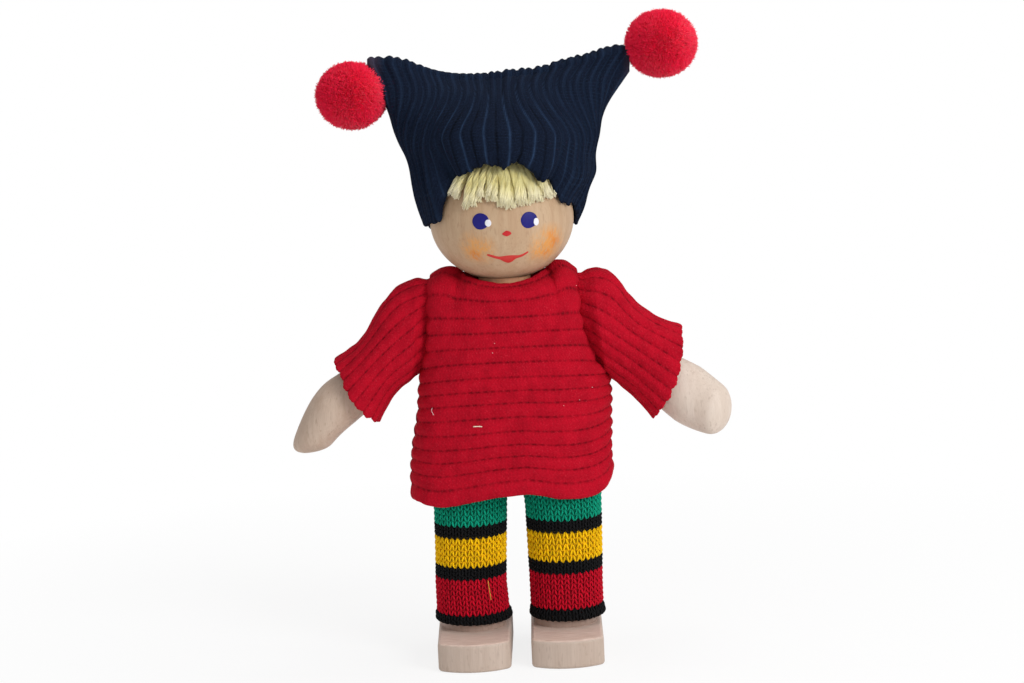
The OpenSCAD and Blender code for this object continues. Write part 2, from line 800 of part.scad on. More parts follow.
// Sweater: a boxy body in two panels that meet at the side and shoulder seams
corner_power = 2 / 3;
body_rows = 10;
yoke_rows = 7;
panel_cols = 34;
collar_share = 0.44;

// Where a panel ends beside the armhole at a height
function armhole_x(z) =
    z < armpit_z
        ? hem_half_w
        : lerp(armpit_half_w, shoulder_half_w, (z - armpit_z) / (seam_z - armpit_z));
function body_half_w(z, less) =
    (z < armpit_z
        ? lerp(hem_half_w, armpit_half_w, eased((z - hem_z) / (armpit_z - hem_z)))
        : lerp(armpit_half_w, chest_half_w, (z - armpit_z) / (chest_z - armpit_z))) - less;
function body_half_d(z, less) =
    lerp(hem_half_d, chest_half_d, clamped((z - hem_z) / (chest_z - hem_z))) - less;

// A point of the body below the chest: across runs from -1 at the right edge to 1 at the left
function body_point(z, across, less) =
    let (
        w = body_half_w(z, less),
        d = body_half_d(z, less),
        first = acos(min(1, armhole_x(z) / body_half_w(z, 0)) ^ (1 / corner_power)),
        a = lerp(180 - first, first, (across + 1) / 2)
    )
    [w * squared(cos(a), corner_power), -d * squared(sin(a), corner_power), z];

// A point of the shoulder seam and, in the middle, of the collar
function top_point(across, side, less) =
    let (
        out = abs(across),
        front_z = collar_z + (side < 0 ? 0 : collar_back_rise),
        side_z = collar_z + collar_side_rise
    )
    out < collar_share
        ? let (a = 90 * out / collar_share)
          [
              sign(across) * collar_half_w * sin(a),
              -collar_half_d * cos(a),
              lerp(front_z, side_z, sin(a) ^ 2) - less
          ]
        : let (share = (out - collar_share) / (1 - collar_share))
          [
              sign(across) * lerp(collar_half_w, shoulder_half_w, share),
              0,
              lerp(side_z, seam_z, share ^ 1.3) + shoulder_swell * sin(180 * share) - less
          ];

function panel_point(row, across, side, less) =
    let (
        up = row / body_rows,
        z = lerp(hem_z, chest_z, min(1, up)),
        low = body_point(z, across, less),
        hang = 1 - min(1, up),
        waves = hem_wave * hang * sin(across * 400 + 60),
        drop = hang ^ 2 * (hem_tilt * low[0] / (2 * hem_half_w) + waves),
        over_share = 90 * max(0, row - body_rows) / yoke_rows,
        high = top_point(across, side, less)
    )
    [
        lerp(low[0], high[0], 1 - cos(over_share)),
        lerp(low[1], high[1], 1 - cos(over_share)) - waves * cos(90 * across),
        lerp(low[2] + drop, high[2], sin(over_share))
    ];

module sweater_panel(side) {
    rows = body_rows + yoke_rows;
    color("firebrick")
    mirror([0, side < 0 ? 0 : 1, 0])
    sheet(
        [for (row = [0 : rows])
            [for (col = [0 : panel_cols]) panel_point(row, 2 * col / panel_cols - 1, side, 0)]],
        [for (row = [0 : rows])
            [for (col = [0 : panel_cols]) panel_point(row, 2 * col / panel_cols - 1, side, knit_t)]]
    );
}

// Sleeve: a tube sewn to the armhole, flattened where it hangs off the arm
module sleeve(side) {
    angle = side < 0 ? right_arm_angle : left_arm_angle;
    top = side < 0 ? right_cuff_top : left_cuff_top;
    low = side < 0 ? right_cuff_low : left_cuff_low;
    along = [sin(angle), 0, -cos(angle)];
    above = [cos(angle), 0, sin(angle)];
    pivot = [arm_x, 0, shoulder_z];
    root_top = [shoulder_half_w + cloth_gap, 0, seam_z - cloth_gap / 2];
    root_low = [armpit_half_w + cloth_gap, 0, armpit_z + cloth_gap / 4];
    cuff_top = pivot + along * (arm_l + top[0]) + above * top[1];
    cuff_low = pivot + along * (arm_l + low[0]) - above * low[1];
    rings = 8;
    around = 32;
    puff_power = 0.62;
    function sleeve_ring(share, less) =
        let (
            a = lerp(root_top, cuff_top, share) + above * sleeve_puff * sin(180 * share ^ puff_power),
            b = lerp(root_low, cuff_low, share),
            middle = (a + b) / 2,
            half = (a - b) / 2 * (1 - less / norm((a - b) / 2)),
            half_d = lerp(sleeve_root_half_d, cuff_half_d, share) - less
        )
        [
            for (i = [0 : around - 1])
                let (turn = 360 * i / around)
                middle + half * sin(turn) + [0, half_d * cos(turn), 0]
        ];
    color("firebrick")
    mirror([side < 0 ? 1 : 0, 0, 0])
    loft(concat(
        [for (i = [0 : rings]) sleeve_ring(i / rings, 0)],
        [for (i = [rings : -1 : 0]) sleeve_ring(i / rings, sleeve_t)]
    ), returns = true);
}

torso();
neck_dowel();
hip_peg();
arm_elastic();
sweater_panel(-1);  // sweater_front
sweater_panel(1);  // sweater_back
head();
hair_fringe();
hat();
pompom(-1);  // right_pompom
pompom(1);  // left_pompom
pompom_tie(-1);  // right_pompom_tie
pompom_tie(1);  // left_pompom_tie
shoulder_fork(-1);  // right_shoulder_fork
shoulder_fork(1);  // left_shoulder_fork
shoulder_pin(-1);  // right_shoulder_pin
shoulder_pin(1);  // left_shoulder_pin
arm(-1);  // right_arm
arm(1);  // left_arm
sleeve(-1);  // right_sleeve
sleeve(1);  // left_sleeve
hand(-1);  // right_hand
hand(1);  // left_hand
leg(-1);  // right_leg
leg(1);  // left_leg
stocking(-1);  // right_stocking
stocking(1);  // left_stocking
foot(-1);  // right_foot
foot(1);  // left_foot
ankle_peg(-1);  // right_ankle_peg
ankle_peg(1);  // left_ankle_peg
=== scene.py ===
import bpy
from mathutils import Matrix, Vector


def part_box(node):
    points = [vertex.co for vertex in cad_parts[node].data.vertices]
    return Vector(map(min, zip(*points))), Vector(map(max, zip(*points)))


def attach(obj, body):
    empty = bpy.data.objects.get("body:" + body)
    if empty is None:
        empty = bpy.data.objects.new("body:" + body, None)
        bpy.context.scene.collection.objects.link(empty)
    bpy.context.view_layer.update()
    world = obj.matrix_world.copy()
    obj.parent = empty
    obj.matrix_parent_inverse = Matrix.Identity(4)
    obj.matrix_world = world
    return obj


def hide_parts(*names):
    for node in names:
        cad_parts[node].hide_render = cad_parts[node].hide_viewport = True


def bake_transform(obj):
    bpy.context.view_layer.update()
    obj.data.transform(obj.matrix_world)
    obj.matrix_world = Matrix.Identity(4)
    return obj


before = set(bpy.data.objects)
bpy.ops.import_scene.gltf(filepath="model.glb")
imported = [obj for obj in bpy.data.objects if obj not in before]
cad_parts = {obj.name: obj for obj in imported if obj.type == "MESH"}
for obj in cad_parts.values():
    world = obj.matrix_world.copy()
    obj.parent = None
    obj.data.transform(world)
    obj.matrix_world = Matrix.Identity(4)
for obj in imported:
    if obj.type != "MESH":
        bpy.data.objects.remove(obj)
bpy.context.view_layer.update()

import math

import bpy
import numpy as np
from mathutils import Matrix, Vector

# Jointed wooden doll in knitted clothes. Shapes are worked out in millimetres and made in metres.
mm = 0.001
pi = math.pi
scene = bpy.context.scene
hipX, shoulder = 8.1, np.array([13.0, 0, 56.6])  # the left side's joints
bothSides = ((-1, "right"), (1, "left"))

# camera
camera = {"lookAt": (0.83, 0, 55.42), "distance": 450, "elevation": 8.5, "roll": 2.56, "lens": 90.4, "sensor": 36,
          "sees": (0.01, 20)}
tilt = math.radians(camera["elevation"])
back = Vector((0, -math.cos(tilt), math.sin(tilt)))
turned = (-back).to_track_quat("-Z", "Y").to_matrix() @ Matrix.Rotation(-math.radians(camera["roll"]), 3, "Z")
eye = bpy.data.objects.new("camera", bpy.data.cameras.new("camera"))
eye.data.lens, eye.data.sensor_width = camera["lens"], camera["sensor"]
eye.data.clip_start, eye.data.clip_end = camera["sees"]
eye.matrix_world = Matrix.Translation((Vector(camera["lookAt"]) + back * camera["distance"]) * mm) @ turned.to_4x4()
scene.collection.objects.link(eye)
scene.camera = eye
scene.view_settings.view_transform = "Standard"


# sums on grids of points
def lerp(a, b, share):
    return a + (b - a) * share


def eased(x):
    t = np.clip(x, 0, 1)
    return t * t * (3 - 2 * t)


def bezier(a, b, c, d, t):
    return a * (1 - t) ** 3 + b * 3 * t * (1 - t) ** 2 + c * 3 * t ** 2 * (1 - t) + d * t ** 3


def squared(x, power):
    return np.sign(x) * np.abs(x) ** power


def unit(ways):
    return ways / np.maximum(np.linalg.norm(ways, axis=-1, keepdims=True), 1e-9)


def softened(line, passes):
    for _ in range(passes):
        line[1:-1] = (line[:-2] + 2 * line[1:-1] + line[2:]) / 4
    return line


def waves(points, size, seed):
    # smooth unevenness between about -1 and 1, with swells of that size in mm
    rng = np.random.default_rng(seed)
    total = 0
    for _ in range(8):
        way = rng.normal(size=3)
        way *= 2 * pi / size * rng.uniform(0.6, 1.4) / np.linalg.norm(way)
        total = total + np.sin(points @ way + rng.uniform(0, 2 * pi))
    return total / 3


def outward(grid, around):
    # unit normals of a grid whose rows go up and whose points go to the right, seen from outside
    across = np.roll(grid, -1, 1) - np.roll(grid, 1, 1) if around else np.gradient(grid, axis=1)
    return unit(np.cross(across, np.gradient(grid, axis=0)))


def wayAlong(points):
    return np.concatenate([[0], np.cumsum(np.linalg.norm(np.diff(points, axis=0), axis=1))])


def evenly(places, points, step):
    # values of places that lie a step apart along the line of points
    along = wayAlong(points)
    spots = np.linspace(0, along[-1], max(4, int(round(along[-1] / step))) + 1)
    return np.interp(spots, along, places), spots


def makeMesh(name, points, faceSets, fields=None, normals=None):
    mesh = bpy.data.meshes.new(name)
    corners = np.concatenate([f.reshape(-1) for f in faceSets])
    sizes = np.concatenate([np.full(len(f), f.shape[1]) for f in faceSets])
    mesh.vertices.add(len(points))
    mesh.vertices.foreach_set("co", (np.asarray(points) * mm).astype(np.float32).reshape(-1))
    mesh.loops.add(len(corners))
    mesh.loops.foreach_set("vertex_index", corners.astype(np.int32))
    mesh.polygons.add(len(sizes))
    starts = np.concatenate([[0], np.cumsum(sizes)[:-1]])
    mesh.polygons.foreach_set("loop_start", starts.astype(np.int32))
    mesh.update(calc_edges=True)
    mesh.validate()
    mesh.shade_smooth()
    for key, values in (fields or {}).items():
        values = np.asarray(values, np.float32)
        if values.ndim == 2:
            colours = np.concatenate([values, np.ones((len(values), 1), np.float32)], 1)
            mesh.attributes.new(key, "FLOAT_COLOR", "POINT").data.foreach_set("color", colours.reshape(-1))
        else:
            mesh.attributes.new(key, "FLOAT", "POINT").data.foreach_set("value", values)
    if normals is not None:
        mesh.normals_split_custom_set_from_vertices(normals.reshape(-1, 3).tolist())
    piece = bpy.data.objects.new(name, mesh)
    scene.collection.objects.link(piece)
    return piece


def gridFaces(rows, cols, rowsMeet, colsMeet, first=0):
    r = np.arange(rows if rowsMeet else rows - 1)[:, None]
    c = np.arange(cols if colsMeet else cols - 1)[None, :]
    low, high, nxt = r * cols, (r + 1) % rows * cols, (c + 1) % cols
    return (first + np.stack([low + c, low + nxt, high + nxt, high + c], -1)).reshape(-1, 4)


def knitSheet(name, grids, around, full):
    # one closed sheet: the outside, a rolled edge, the inside on fewer rows, and a rolled edge;
    # full is how round the low and the high edge are
    outer, inner, ribs, stitches, normals = grids
    rows, cols = outer.shape[:2]
    roll, innerStep = 5, 6
    keep = np.unique(np.append(np.arange(0, rows, innerStep), rows - 1))

    def edge(a, b, beyond, fullness):
        middle, half = (a + b) / 2, (a - b) / 2
        reach = np.linalg.norm(half, axis=1, keepdims=True) * fullness
        turns = pi * np.arange(1, roll + 1) / (roll + 1)
        return np.stack([middle + half * math.cos(t) + unit(a - beyond) * reach * math.sin(t) for t in turns])

    top = edge(outer[-1], inner[-1], outer[-2], full[1])
    low = edge(inner[0], outer[0], inner[0] + (outer[1] - outer[0]), full[0])
    whole = np.concatenate([outer, top, inner[keep][::-1], low])
    count = len(whole)
    faces = [gridFaces(count, cols, True, around)]
    if not around:  # the two side edges are closed by a strip each
        insideAt = {r: rows + roll + len(keep) - 1 - k for k, r in enumerate(keep)}
        rings = [[*range(a, b + 1), insideAt[b], insideAt[a]] for a, b in zip(keep[:-1], keep[1:])]
        rings += [range(rows - 1, rows + roll + 1), [*range(count - roll - 1, count), 0]]
        for col, way in ((0, 1), (cols - 1, -1)):
            faces += [np.array([[r * cols + col for r in ring][::way]]) for ring in rings]
    spread = {}
    for key, values in (("rib", ribs), ("stitch", stitches)):
        parts = [values, np.repeat(values[-1:], roll, 0), values[keep][::-1], np.repeat(values[:1], roll, 0)]
        spread[key] = np.concatenate(parts).reshape(-1)
    blank = np.zeros((count - rows, cols, 3))
    return makeMesh(name, whole.reshape(-1, 3), faces, spread, np.concatenate([normals, blank]))


def strands(paths, radii, sides):
    # many round threads of equally many points, as points and faces
    count, steps = paths.shape[:2]
    tangent = unit(np.gradient(paths, axis=1))
    lead = np.where(np.abs(tangent[:, :1, 2:]) > 0.8, [[[1.0, 0, 0]]], [[[0, 0, 1.0]]])
    side = unit(np.cross(tangent, np.broadcast_to(lead, tangent.shape)))
    other = np.cross(tangent, side)
    turns = 2 * pi * np.arange(sides) / sides
    ring = side[:, :, None] * np.cos(turns)[:, None] + other[:, :, None] * np.sin(turns)[:, None]
    points = paths[:, :, None] + ring * radii[:, :, None, None]
    starts = (np.arange(count) * steps * sides)[:, None, None]
    quads = (starts + gridFaces(steps, sides, False, True)[None]).reshape(-1, 4)
    caps = [np.arange(sides)[::-1], (steps - 1) * sides + np.arange(sides)]
    ends = (starts + np.stack(caps)[None]).reshape(-1, sides)
    return points.reshape(-1, 3), [quads, ends]


def strandPiece(name, paths, radii, sides, field, values):
    # values holds a number or a colour for each point of the paths
    points, faces = strands(paths, radii, sides)
    return makeMesh(name, points, faces, {field: np.repeat(values.reshape(-1, *values.shape[2:]), sides, 0)})


# work on one piece
def choose(piece):
    bpy.ops.object.select_all(action="DESELECT")
    piece.select_set(True)
    bpy.context.view_layer.objects.active = piece


def meshWork(piece, *steps):
    # mesh operators with their values, each on the whole piece
    choose(piece)
    bpy.ops.object.mode_set(mode="EDIT")
    for step, values in steps:
        bpy.ops.mesh.select_all(action="SELECT")
        step(**values)
    bpy.ops.object.mode_set(mode="OBJECT")


def drilled(piece, vertices, radius, depth, location):
    bpy.ops.mesh.primitive_cylinder_add(vertices=vertices, radius=radius, depth=depth, location=location)
    drill = bpy.context.active_object
    choose(piece)
    socket = piece.modifiers.new("socket", "BOOLEAN")
    socket.object, socket.operation, socket.solver = drill, "DIFFERENCE", "EXACT"
    bpy.ops.object.modifier_apply(modifier="socket")
    bpy.data.objects.remove(drill)


def dress(piece, finish, body=None):
    piece.data.materials.clear()
    piece.data.materials.append(finish.material)
    if body:
        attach(piece, body)
    return piece


# finishes
def paint(r, g, b):
    def straight(c):
        c /= 255
        return c / 12.92 if c <= 0.04045 else ((c + 0.055) / 1.055) ** 2.4
    return (straight(r), straight(g), straight(b), 1)


class Wire:
    # a node's output that works in sums; every sum adds its Math node
    def __init__(self, finish, socket):
        self.finish, self.socket = finish, socket

    def maths(self, operation, *values):
        return self.finish.node("ShaderNodeMath", {"operation": operation}, dict(enumerate(values)))

    def __add__(self, other): return self.maths("ADD", self, other)
    def __radd__(self, other): return self.maths("ADD", other, self)
    def __sub__(self, other): return self.maths("SUBTRACT", self, other)
    def __rsub__(self, other): return self.maths("SUBTRACT", other, self)
    def __mul__(self, other): return self.maths("MULTIPLY", self, other)
    def __rmul__(self, other): return self.maths("MULTIPLY", other, self)
    def __truediv__(self, other): return self.maths("DIVIDE", self, other)
    def __rtruediv__(self, other): return self.maths("DIVIDE", other, self)
    def sine(self): return self.maths("SINE", self)
    def size(self): return self.maths("ABSOLUTE", self)
    def least(self, other): return self.maths("MINIMUM", self, other)
    def most(self, other): return self.maths("MAXIMUM", self, other)
    def between(self, low, high): return ((self - low) / (high - low)).most(0).least(1)


class Finish:
    # a material, whose nodes are made by one method
    def __init__(self, name, **constants):
        self.material = bpy.data.materials.new(name)
        self.material.use_nodes = True
        self.tree = self.material.node_tree
        self.tree.nodes.clear()
        self.shader = self.tree.nodes.new("ShaderNodeBsdfPrincipled")
        output = self.tree.nodes.new("ShaderNodeOutputMaterial")
        self.tree.links.new(self.shader.outputs[0], output.inputs[0])
        for key, value in constants.items():
            self.shader.inputs[key.replace("_", " ")].default_value = value

    def join(self, value, socket):
        if isinstance(value, Wire):
            self.tree.links.new(value.socket, socket)
        else:
            socket.default_value = value

    def node(self, kind, settings=None, values=None, out=0):
        made = self.tree.nodes.new(kind)
        for key, value in (settings or {}).items():
            if key == "stops":
                ramp = made.color_ramp.elements
                while len(ramp) < len(value):
                    ramp.new(0.5)
                for stop, (place, colour) in zip(ramp, value):
                    stop.position, stop.color = place, colour
            else:
                setattr(made, key, value)
        for key, value in (values or {}).items():
            self.join(value, made.inputs[key])
        return Wire(self, made.outputs[out])

    def use(self, **inputs):
        for key, value in inputs.items():
            self.join(value, self.shader.inputs[key.replace("_", " ")])
        return self

    def painted(self):
        # the colour so far
        return Wire(self, self.shader.inputs["Base Color"].links[0].from_socket)

    def field(self, name, out="Fac"):
        return self.node("ShaderNodeAttribute", {"attribute_name": name}, out=out)

    def place(self, scale=(1, 1, 1), rotation=(0, 0, 0), location=(0, 0, 0)):
        where = self.node("ShaderNodeTexCoord", out="Object")
        return self.node("ShaderNodeMapping", {}, {
            "Vector": where, "Scale": scale, "Rotation": rotation, "Location": location})

    def noise(self, where, scale, detail=2.0, roughness=0.5, distortion=0.0):
        return self.node("ShaderNodeTexNoise", {}, {
            "Vector": where, "Scale": scale, "Detail": detail, "Roughness": roughness, "Distortion": distortion})

    def mix(self, share, *pair):
        # each a wire or a colour as (red, green, blue), counted to 255
        first, second = (paint(*each) if isinstance(each, tuple) else each for each in pair)
        return self.node("ShaderNodeMix", {"data_type": "RGBA"}, {0: share, 6: first, 7: second}, out=2)

    def bump(self, height, strength, distance):
        return self.node("ShaderNodeBump", {}, {"Height": height, "Strength": strength, "Distance": distance})


def beech(name, pale, warm, dark, grainAlong=(1, 1, 0.06), fleck=0.5, rough=0.5):
    # fine straight grain with short dark rays, as turned or sawn beech shows
    f = Finish(name, Roughness=rough, Specular_IOR_Level=0.35)
    fine = f.noise(f.place(grainAlong), 5200, 3, 0.65)
    broad = f.noise(f.place(grainAlong, location=(0.3, 0.1, 0)), 620, 3, 0.5, 0.6)
    rays = f.noise(f.place(tuple(lerp(1, g, 0.72) for g in grainAlong), location=(0.7, 0.2, 0.4)), 2300, 1, 0.4)
    cloud = f.noise(f.place(), 130, 2, 0.5)
    colour = f.mix(broad.between(0.3, 0.72), pale, warm)
    colour = f.mix(fine.between(0.45, 0.85) * 0.4, colour, dark)
    colour = f.mix(rays.between(0.63, 0.72) * fleck, colour, dark)
    colour = f.mix(cloud.between(0.35, 0.75) * 0.3, colour, warm)
    f.use(Base_Color=colour, Roughness=rough + 0.14 * fine.between(0.3, 0.8),
          Normal=f.bump(fine * 0.7 + rays * 0.3, 0.35, 0.00006))
    return f


def rib(name, light, deep, ridge, grooveWide, grooveShade, dash, sheen, fuzz, tick=0, ridgeHighlight=0):
    # rib knit: grooves by the rib field darkened in dashes as painted shade, small stitches along the stitch field
    f = Finish(name, Roughness=0.92, Specular_IOR_Level=0.08, Sheen_Weight=sheen, Sheen_Roughness=0.5)
    f.shader.inputs["Sheen Tint"].default_value = paint(*ridge)
    ribs, stitches = f.field("rib"), f.field("stitch")
    wave = (ribs * pi).sine().size()
    fibres = f.noise(f.place(), 5200, 3, 0.7)
    patches = f.noise(f.place(), 330, 2, 0.6)
    broken = patches.between(0.36, 0.6)
    groove = 1 - wave.between(0.05, grooveWide)
    dashes = (stitches * (2 * pi)).sine().between(-0.5, 0.6)
    # painted shade in the grooves, broken into dashes and patches
    dark = groove * (1 - dash + dash * dashes) * (0.45 + 0.55 * broken)
    loops = (stitches * (4 * pi) + (ribs * (6 * pi)).sine() * 1.2).sine()
    rows = (ribs * (6 * pi)).sine()
    colour = f.mix(fibres.between(0.3, 0.75) * fuzz, light, ridge)
    colour = f.mix(patches.between(0.4, 0.75) * 0.25, colour, deep)
    colour = f.mix(dark * grooveShade, colour, deep)
    if tick:
        ticks = (stitches * (2 * pi)).sine().between(0.3, 0.95) * fibres.between(0.4, 0.7)
        colour = f.mix(ticks * broken * tick, colour, ridge)
    # painted highlight: the raised lines of the ridge field turn towards the ridge colour
    if ridgeHighlight:
        colour = f.mix(f.field("ridge") * ridgeHighlight * (0.6 + 0.4 * broken), colour, ridge)
    height = loops * 0.35 + rows * 0.3 + fibres * 1.1 - groove * dashes * 0.8
    f.use(Base_Color=colour, Roughness=0.84 + 0.14 * fibres, Normal=f.bump(height, 0.5, 0.00012))
    return f


def yarn(name, tint, lighter, deep, sheen=0.3, scale=6000, rough=0.9):
    f = Finish(name, Roughness=rough, Specular_IOR_Level=0.15, Sheen_Weight=sheen, Sheen_Roughness=0.5)
    fibres = f.noise(f.place(), scale, 3, 0.7)
    patches = f.noise(f.place(), scale / 9, 2, 0.5)
    colour = f.mix(fibres.between(0.3, 0.75), tint, lighter)
    colour = f.mix(patches.between(0.45, 0.8) * 0.5, colour, deep)
    f.use(Base_Color=colour, Normal=f.bump(fibres, 0.4, 0.00008))
    return f


def film(name, colour, edge, gloss=0.4):
    # brushed paint, a little uneven
    f = Finish(name, Roughness=0.42, Specular_IOR_Level=gloss)
    brush = f.noise(f.place((1, 1, 0.4)), 2600, 2, 0.5)
    f.use(Base_Color=f.mix(brush.between(0.35, 0.8) * 0.45, colour, edge), Roughness=0.36 + 0.2 * brush,
          Normal=f.bump(brush, 0.25, 0.00003))
    return f


# the deep colour goes into uneven patches and into the painted shade of the grooves
redKnit = rib("redRibKnit", (178, 8, 32), (84, 1, 12), (206, 24, 50),
              grooveWide=0.36, grooveShade=0.75, dash=0.5, sheen=0.06, fuzz=0.5)
dust = redKnit.noise(redKnit.place(), 5200, 3, 0.65).between(0.58, 0.75)
redKnit.use(Base_Color=redKnit.mix(dust * 0.35, redKnit.painted(), (214, 84, 92)))
navyKnit = rib("navyRibKnit", (8, 13, 28), (1, 2, 6), (52, 74, 108),
               grooveWide=0.55, grooveShade=0.9, dash=0.2, sheen=0.02, fuzz=0.2, tick=0.22, ridgeHighlight=0.7)
navyKnit.use(Base_Color=navyKnit.mix(navyKnit.field("tip") * 0.42, navyKnit.painted(), (84, 70, 84)))
crimsonYarn = yarn("crimsonYarn", (255, 8, 60), (255, 30, 84), (240, 6, 50), 0.25)
creamYarn = yarn("creamYarn", (226, 213, 138), (238, 229, 172), (206, 186, 100), 0.3)
creamYarn.use(Base_Color=creamYarn.mix(creamYarn.field("tone"), creamYarn.painted(), (244, 236, 206)))
neckBeech = beech("neckBeech", (236, 180, 140), (220, 158, 118), (184, 122, 86))
headBeech = beech("headBeech", (202, 174, 142), (187, 154, 122), (158, 120, 90), fleck=0.35)
# one beech in two copies: darker on the right hand as painted shade, lighter on the left hand as painted light
handBeechShadedAndLit = {
    "right": beech("rightHandBeechShaded", (204, 182, 164), (188, 163, 144), (154, 127, 107), fleck=0.35),
    "left": beech("leftHandBeechLit", (225, 210, 197), (210, 192, 177), (172, 150, 132), fleck=0.35),
}
footBeech = beech("footBeech", (206, 188, 174), (190, 170, 155), (160, 137, 122), (1, 1, 0.05), 0.3)
# the top has its own grain across, and its lighter colour is painted light from above
topGrain = footBeech.noise(footBeech.place((0.08, 1, 1)), 3600, 3, 0.65)
topWoodPaintedLight = footBeech.mix(topGrain.between(0.35, 0.75), (236, 213, 200), (200, 168, 151))
up = footBeech.node("ShaderNodeSeparateXYZ", {}, {0: footBeech.node("ShaderNodeTexCoord", out="Object")}, out="Z")
onTop = up.between(4.7 * mm, 4.95 * mm) * (1 - up.between(5.05 * mm, 5.1 * mm))
footBeech.use(Base_Color=footBeech.mix(onTop, footBeech.painted(), topWoodPaintedLight))
# the legs' beech is painted darker than the feet's, as painted shade under the stocking hems
legBeechPaintedShade = beech("legBeechPaintedShade", (178, 154, 142), (160, 134, 120), (132, 106, 92), (1, 1, 0.05), 0.3)
innerBeech = beech("innerBeech", (208, 184, 160), (192, 164, 136), (156, 122, 96))
pinSteel = Finish("pinSteel", Metallic=1.0, Roughness=0.3)
pinSteel.use(Base_Color=pinSteel.mix(pinSteel.noise(pinSteel.place((1, 0.1, 1)), 3000).between(0.3, 0.7),
                                     (176, 178, 182), (150, 152, 156)))
whiteElastic = yarn("whiteElastic", (226, 224, 218), (244, 243, 240), (190, 188, 182), 0.1, 9000)
print("finishes are made")


# CAD nodes that keep their own shape
keptNodes = {"torso": innerBeech, "neck_dowel": neckBeech, "hip_peg": innerBeech, "arm_elastic": whiteElastic}
for side in ("right", "left"):
    keptNodes.update({
        f"{side}_shoulder_fork": innerBeech, f"{side}_shoulder_pin": pinSteel, f"{side}_arm": innerBeech,
        f"{side}_leg": legBeechPaintedShade, f"{side}_ankle_peg": innerBeech, f"{side}_pompom_tie": crimsonYarn})
for nodeName, finish in keptNodes.items():
    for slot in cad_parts[nodeName].material_slots:
        slot.material = finish.material


# head
head = {"z": 77.2, "r": 12.5, "rise": 11.9, "drop": 10.8, "neckHole": 9.2, "holeTop": 75.0}


def headSkin(x, z, proud=0.0):
    # y of the head's front at a place seen from the front
    up = head["rise"] if z >= head["z"] else head["drop"]
    side = (x / (head["r"] + proud)) ** 2 + ((z - head["z"]) / (up + proud)) ** 2
    return -(head["r"] + proud) * math.sqrt(max(0.0, 1 - side))


bpy.ops.mesh.primitive_uv_sphere_add(segments=128, ring_count=80, radius=head["r"] * mm,
                                     location=(0, 0, head["z"] * mm))
ball = bpy.context.active_object
ball.name = "headBall"
bpy.ops.object.transform_apply(location=True, rotation=True, scale=True)
for v in ball.data.vertices:
    above = v.co.z - head["z"] * mm
    v.co.z = head["z"] * mm + above * (head["rise"] if above > 0 else head["drop"]) / head["r"]
drilled(ball, 96, head["neckHole"] / 2 * mm, 20 * mm, (0, 0, (head["holeTop"] - 10) * mm))
bpy.ops.object.shade_smooth_by_angle(angle=math.radians(50))

face = {
    "eyes": [(-3.57, 77.96), (4.62, 77.8)], "eyeR": 1.4,
    "dots": [(-2.3, 77.65), (5.8, 77.4)], "dotHalf": [(0.54, 0.6), (0.44, 0.64)],
    "nose": (0.78, 75.75), "noseHalf": (0.76, 0.46),
    "upperLip": [(-2.78, 72.1), (-2.6, 72.26), (-1.86, 72.03), (-0.9, 71.7), (-0.32, 71.69), (0.65, 71.84),
                 (1.61, 71.84), (2.57, 71.74), (3.34, 71.91), (4.1, 72.34), (4.3, 72.3)],
    "lowerLip": [(-2.78, 72.0), (-2.58, 71.84), (-1.47, 71.38), (-0.55, 71.14), (0.16, 70.64), (0.84, 70.38),
                 (1.5, 70.62), (2.1, 71.2), (3.15, 71.4), (4.15, 71.98), (4.3, 72.16)],
    # x, z, width and strength of each brush mark, the broad pale ones first
    "cheeks": [(-4.4, 73.2, 3.5, 0.62), (7.6, 72.9, 4.0, 0.75)],
    "cheekSpots": [(-4.3, 71.6, 1.3, 0.75), (-4.9, 72.3, 0.9, 0.5), (8.9, 73.5, 1.3, 0.75), (7.3, 71.8, 0.9, 0.6),
                   (8.4, 74.9, 1.0, 0.4)],
}

where = headBeech.node("ShaderNodeTexCoord", out="Object")
streaks = headBeech.noise(headBeech.place((1, 1, 0.14)), 2600, 4, 0.75)
blotch = headBeech.noise(headBeech.place((1, 1, 0.7)), 420, 3, 0.6)
wood = headBeech.painted()
for kind, tone in (("cheeks", (230, 152, 54)), ("cheekSpots", (216, 124, 34))):
    for x, z, wide, strong in face[kind]:
        centre = (x * mm, headSkin(x, z) * mm, z * mm)
        away = headBeech.node("ShaderNodeVectorMath", {"operation": "DISTANCE"}, {0: where, 1: centre}, out="Value")
        patch = 1 - away.between(wide * 0.1 * mm, wide * 1.15 * mm)
        rouge = (patch * (0.2 + 1.7 * streaks.between(0.35, 0.7)) * (0.35 + blotch.between(0.35, 0.6))).least(1)
        wood = headBeech.mix(rouge * strong, wood, tone)
headBeech.use(Base_Color=wood)
dress(ball, headBeech, "head")
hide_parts("head")

eyePaint = film("eyePaint", (26, 24, 112), (36, 34, 132), 0.2)
dotPaint = film("dotPaint", (240, 240, 246), (222, 222, 236))
lipPaint = film("lipPaint", (200, 44, 40), (214, 72, 60))
nosePaint = film("nosePaint", (192, 22, 30), (206, 44, 46))


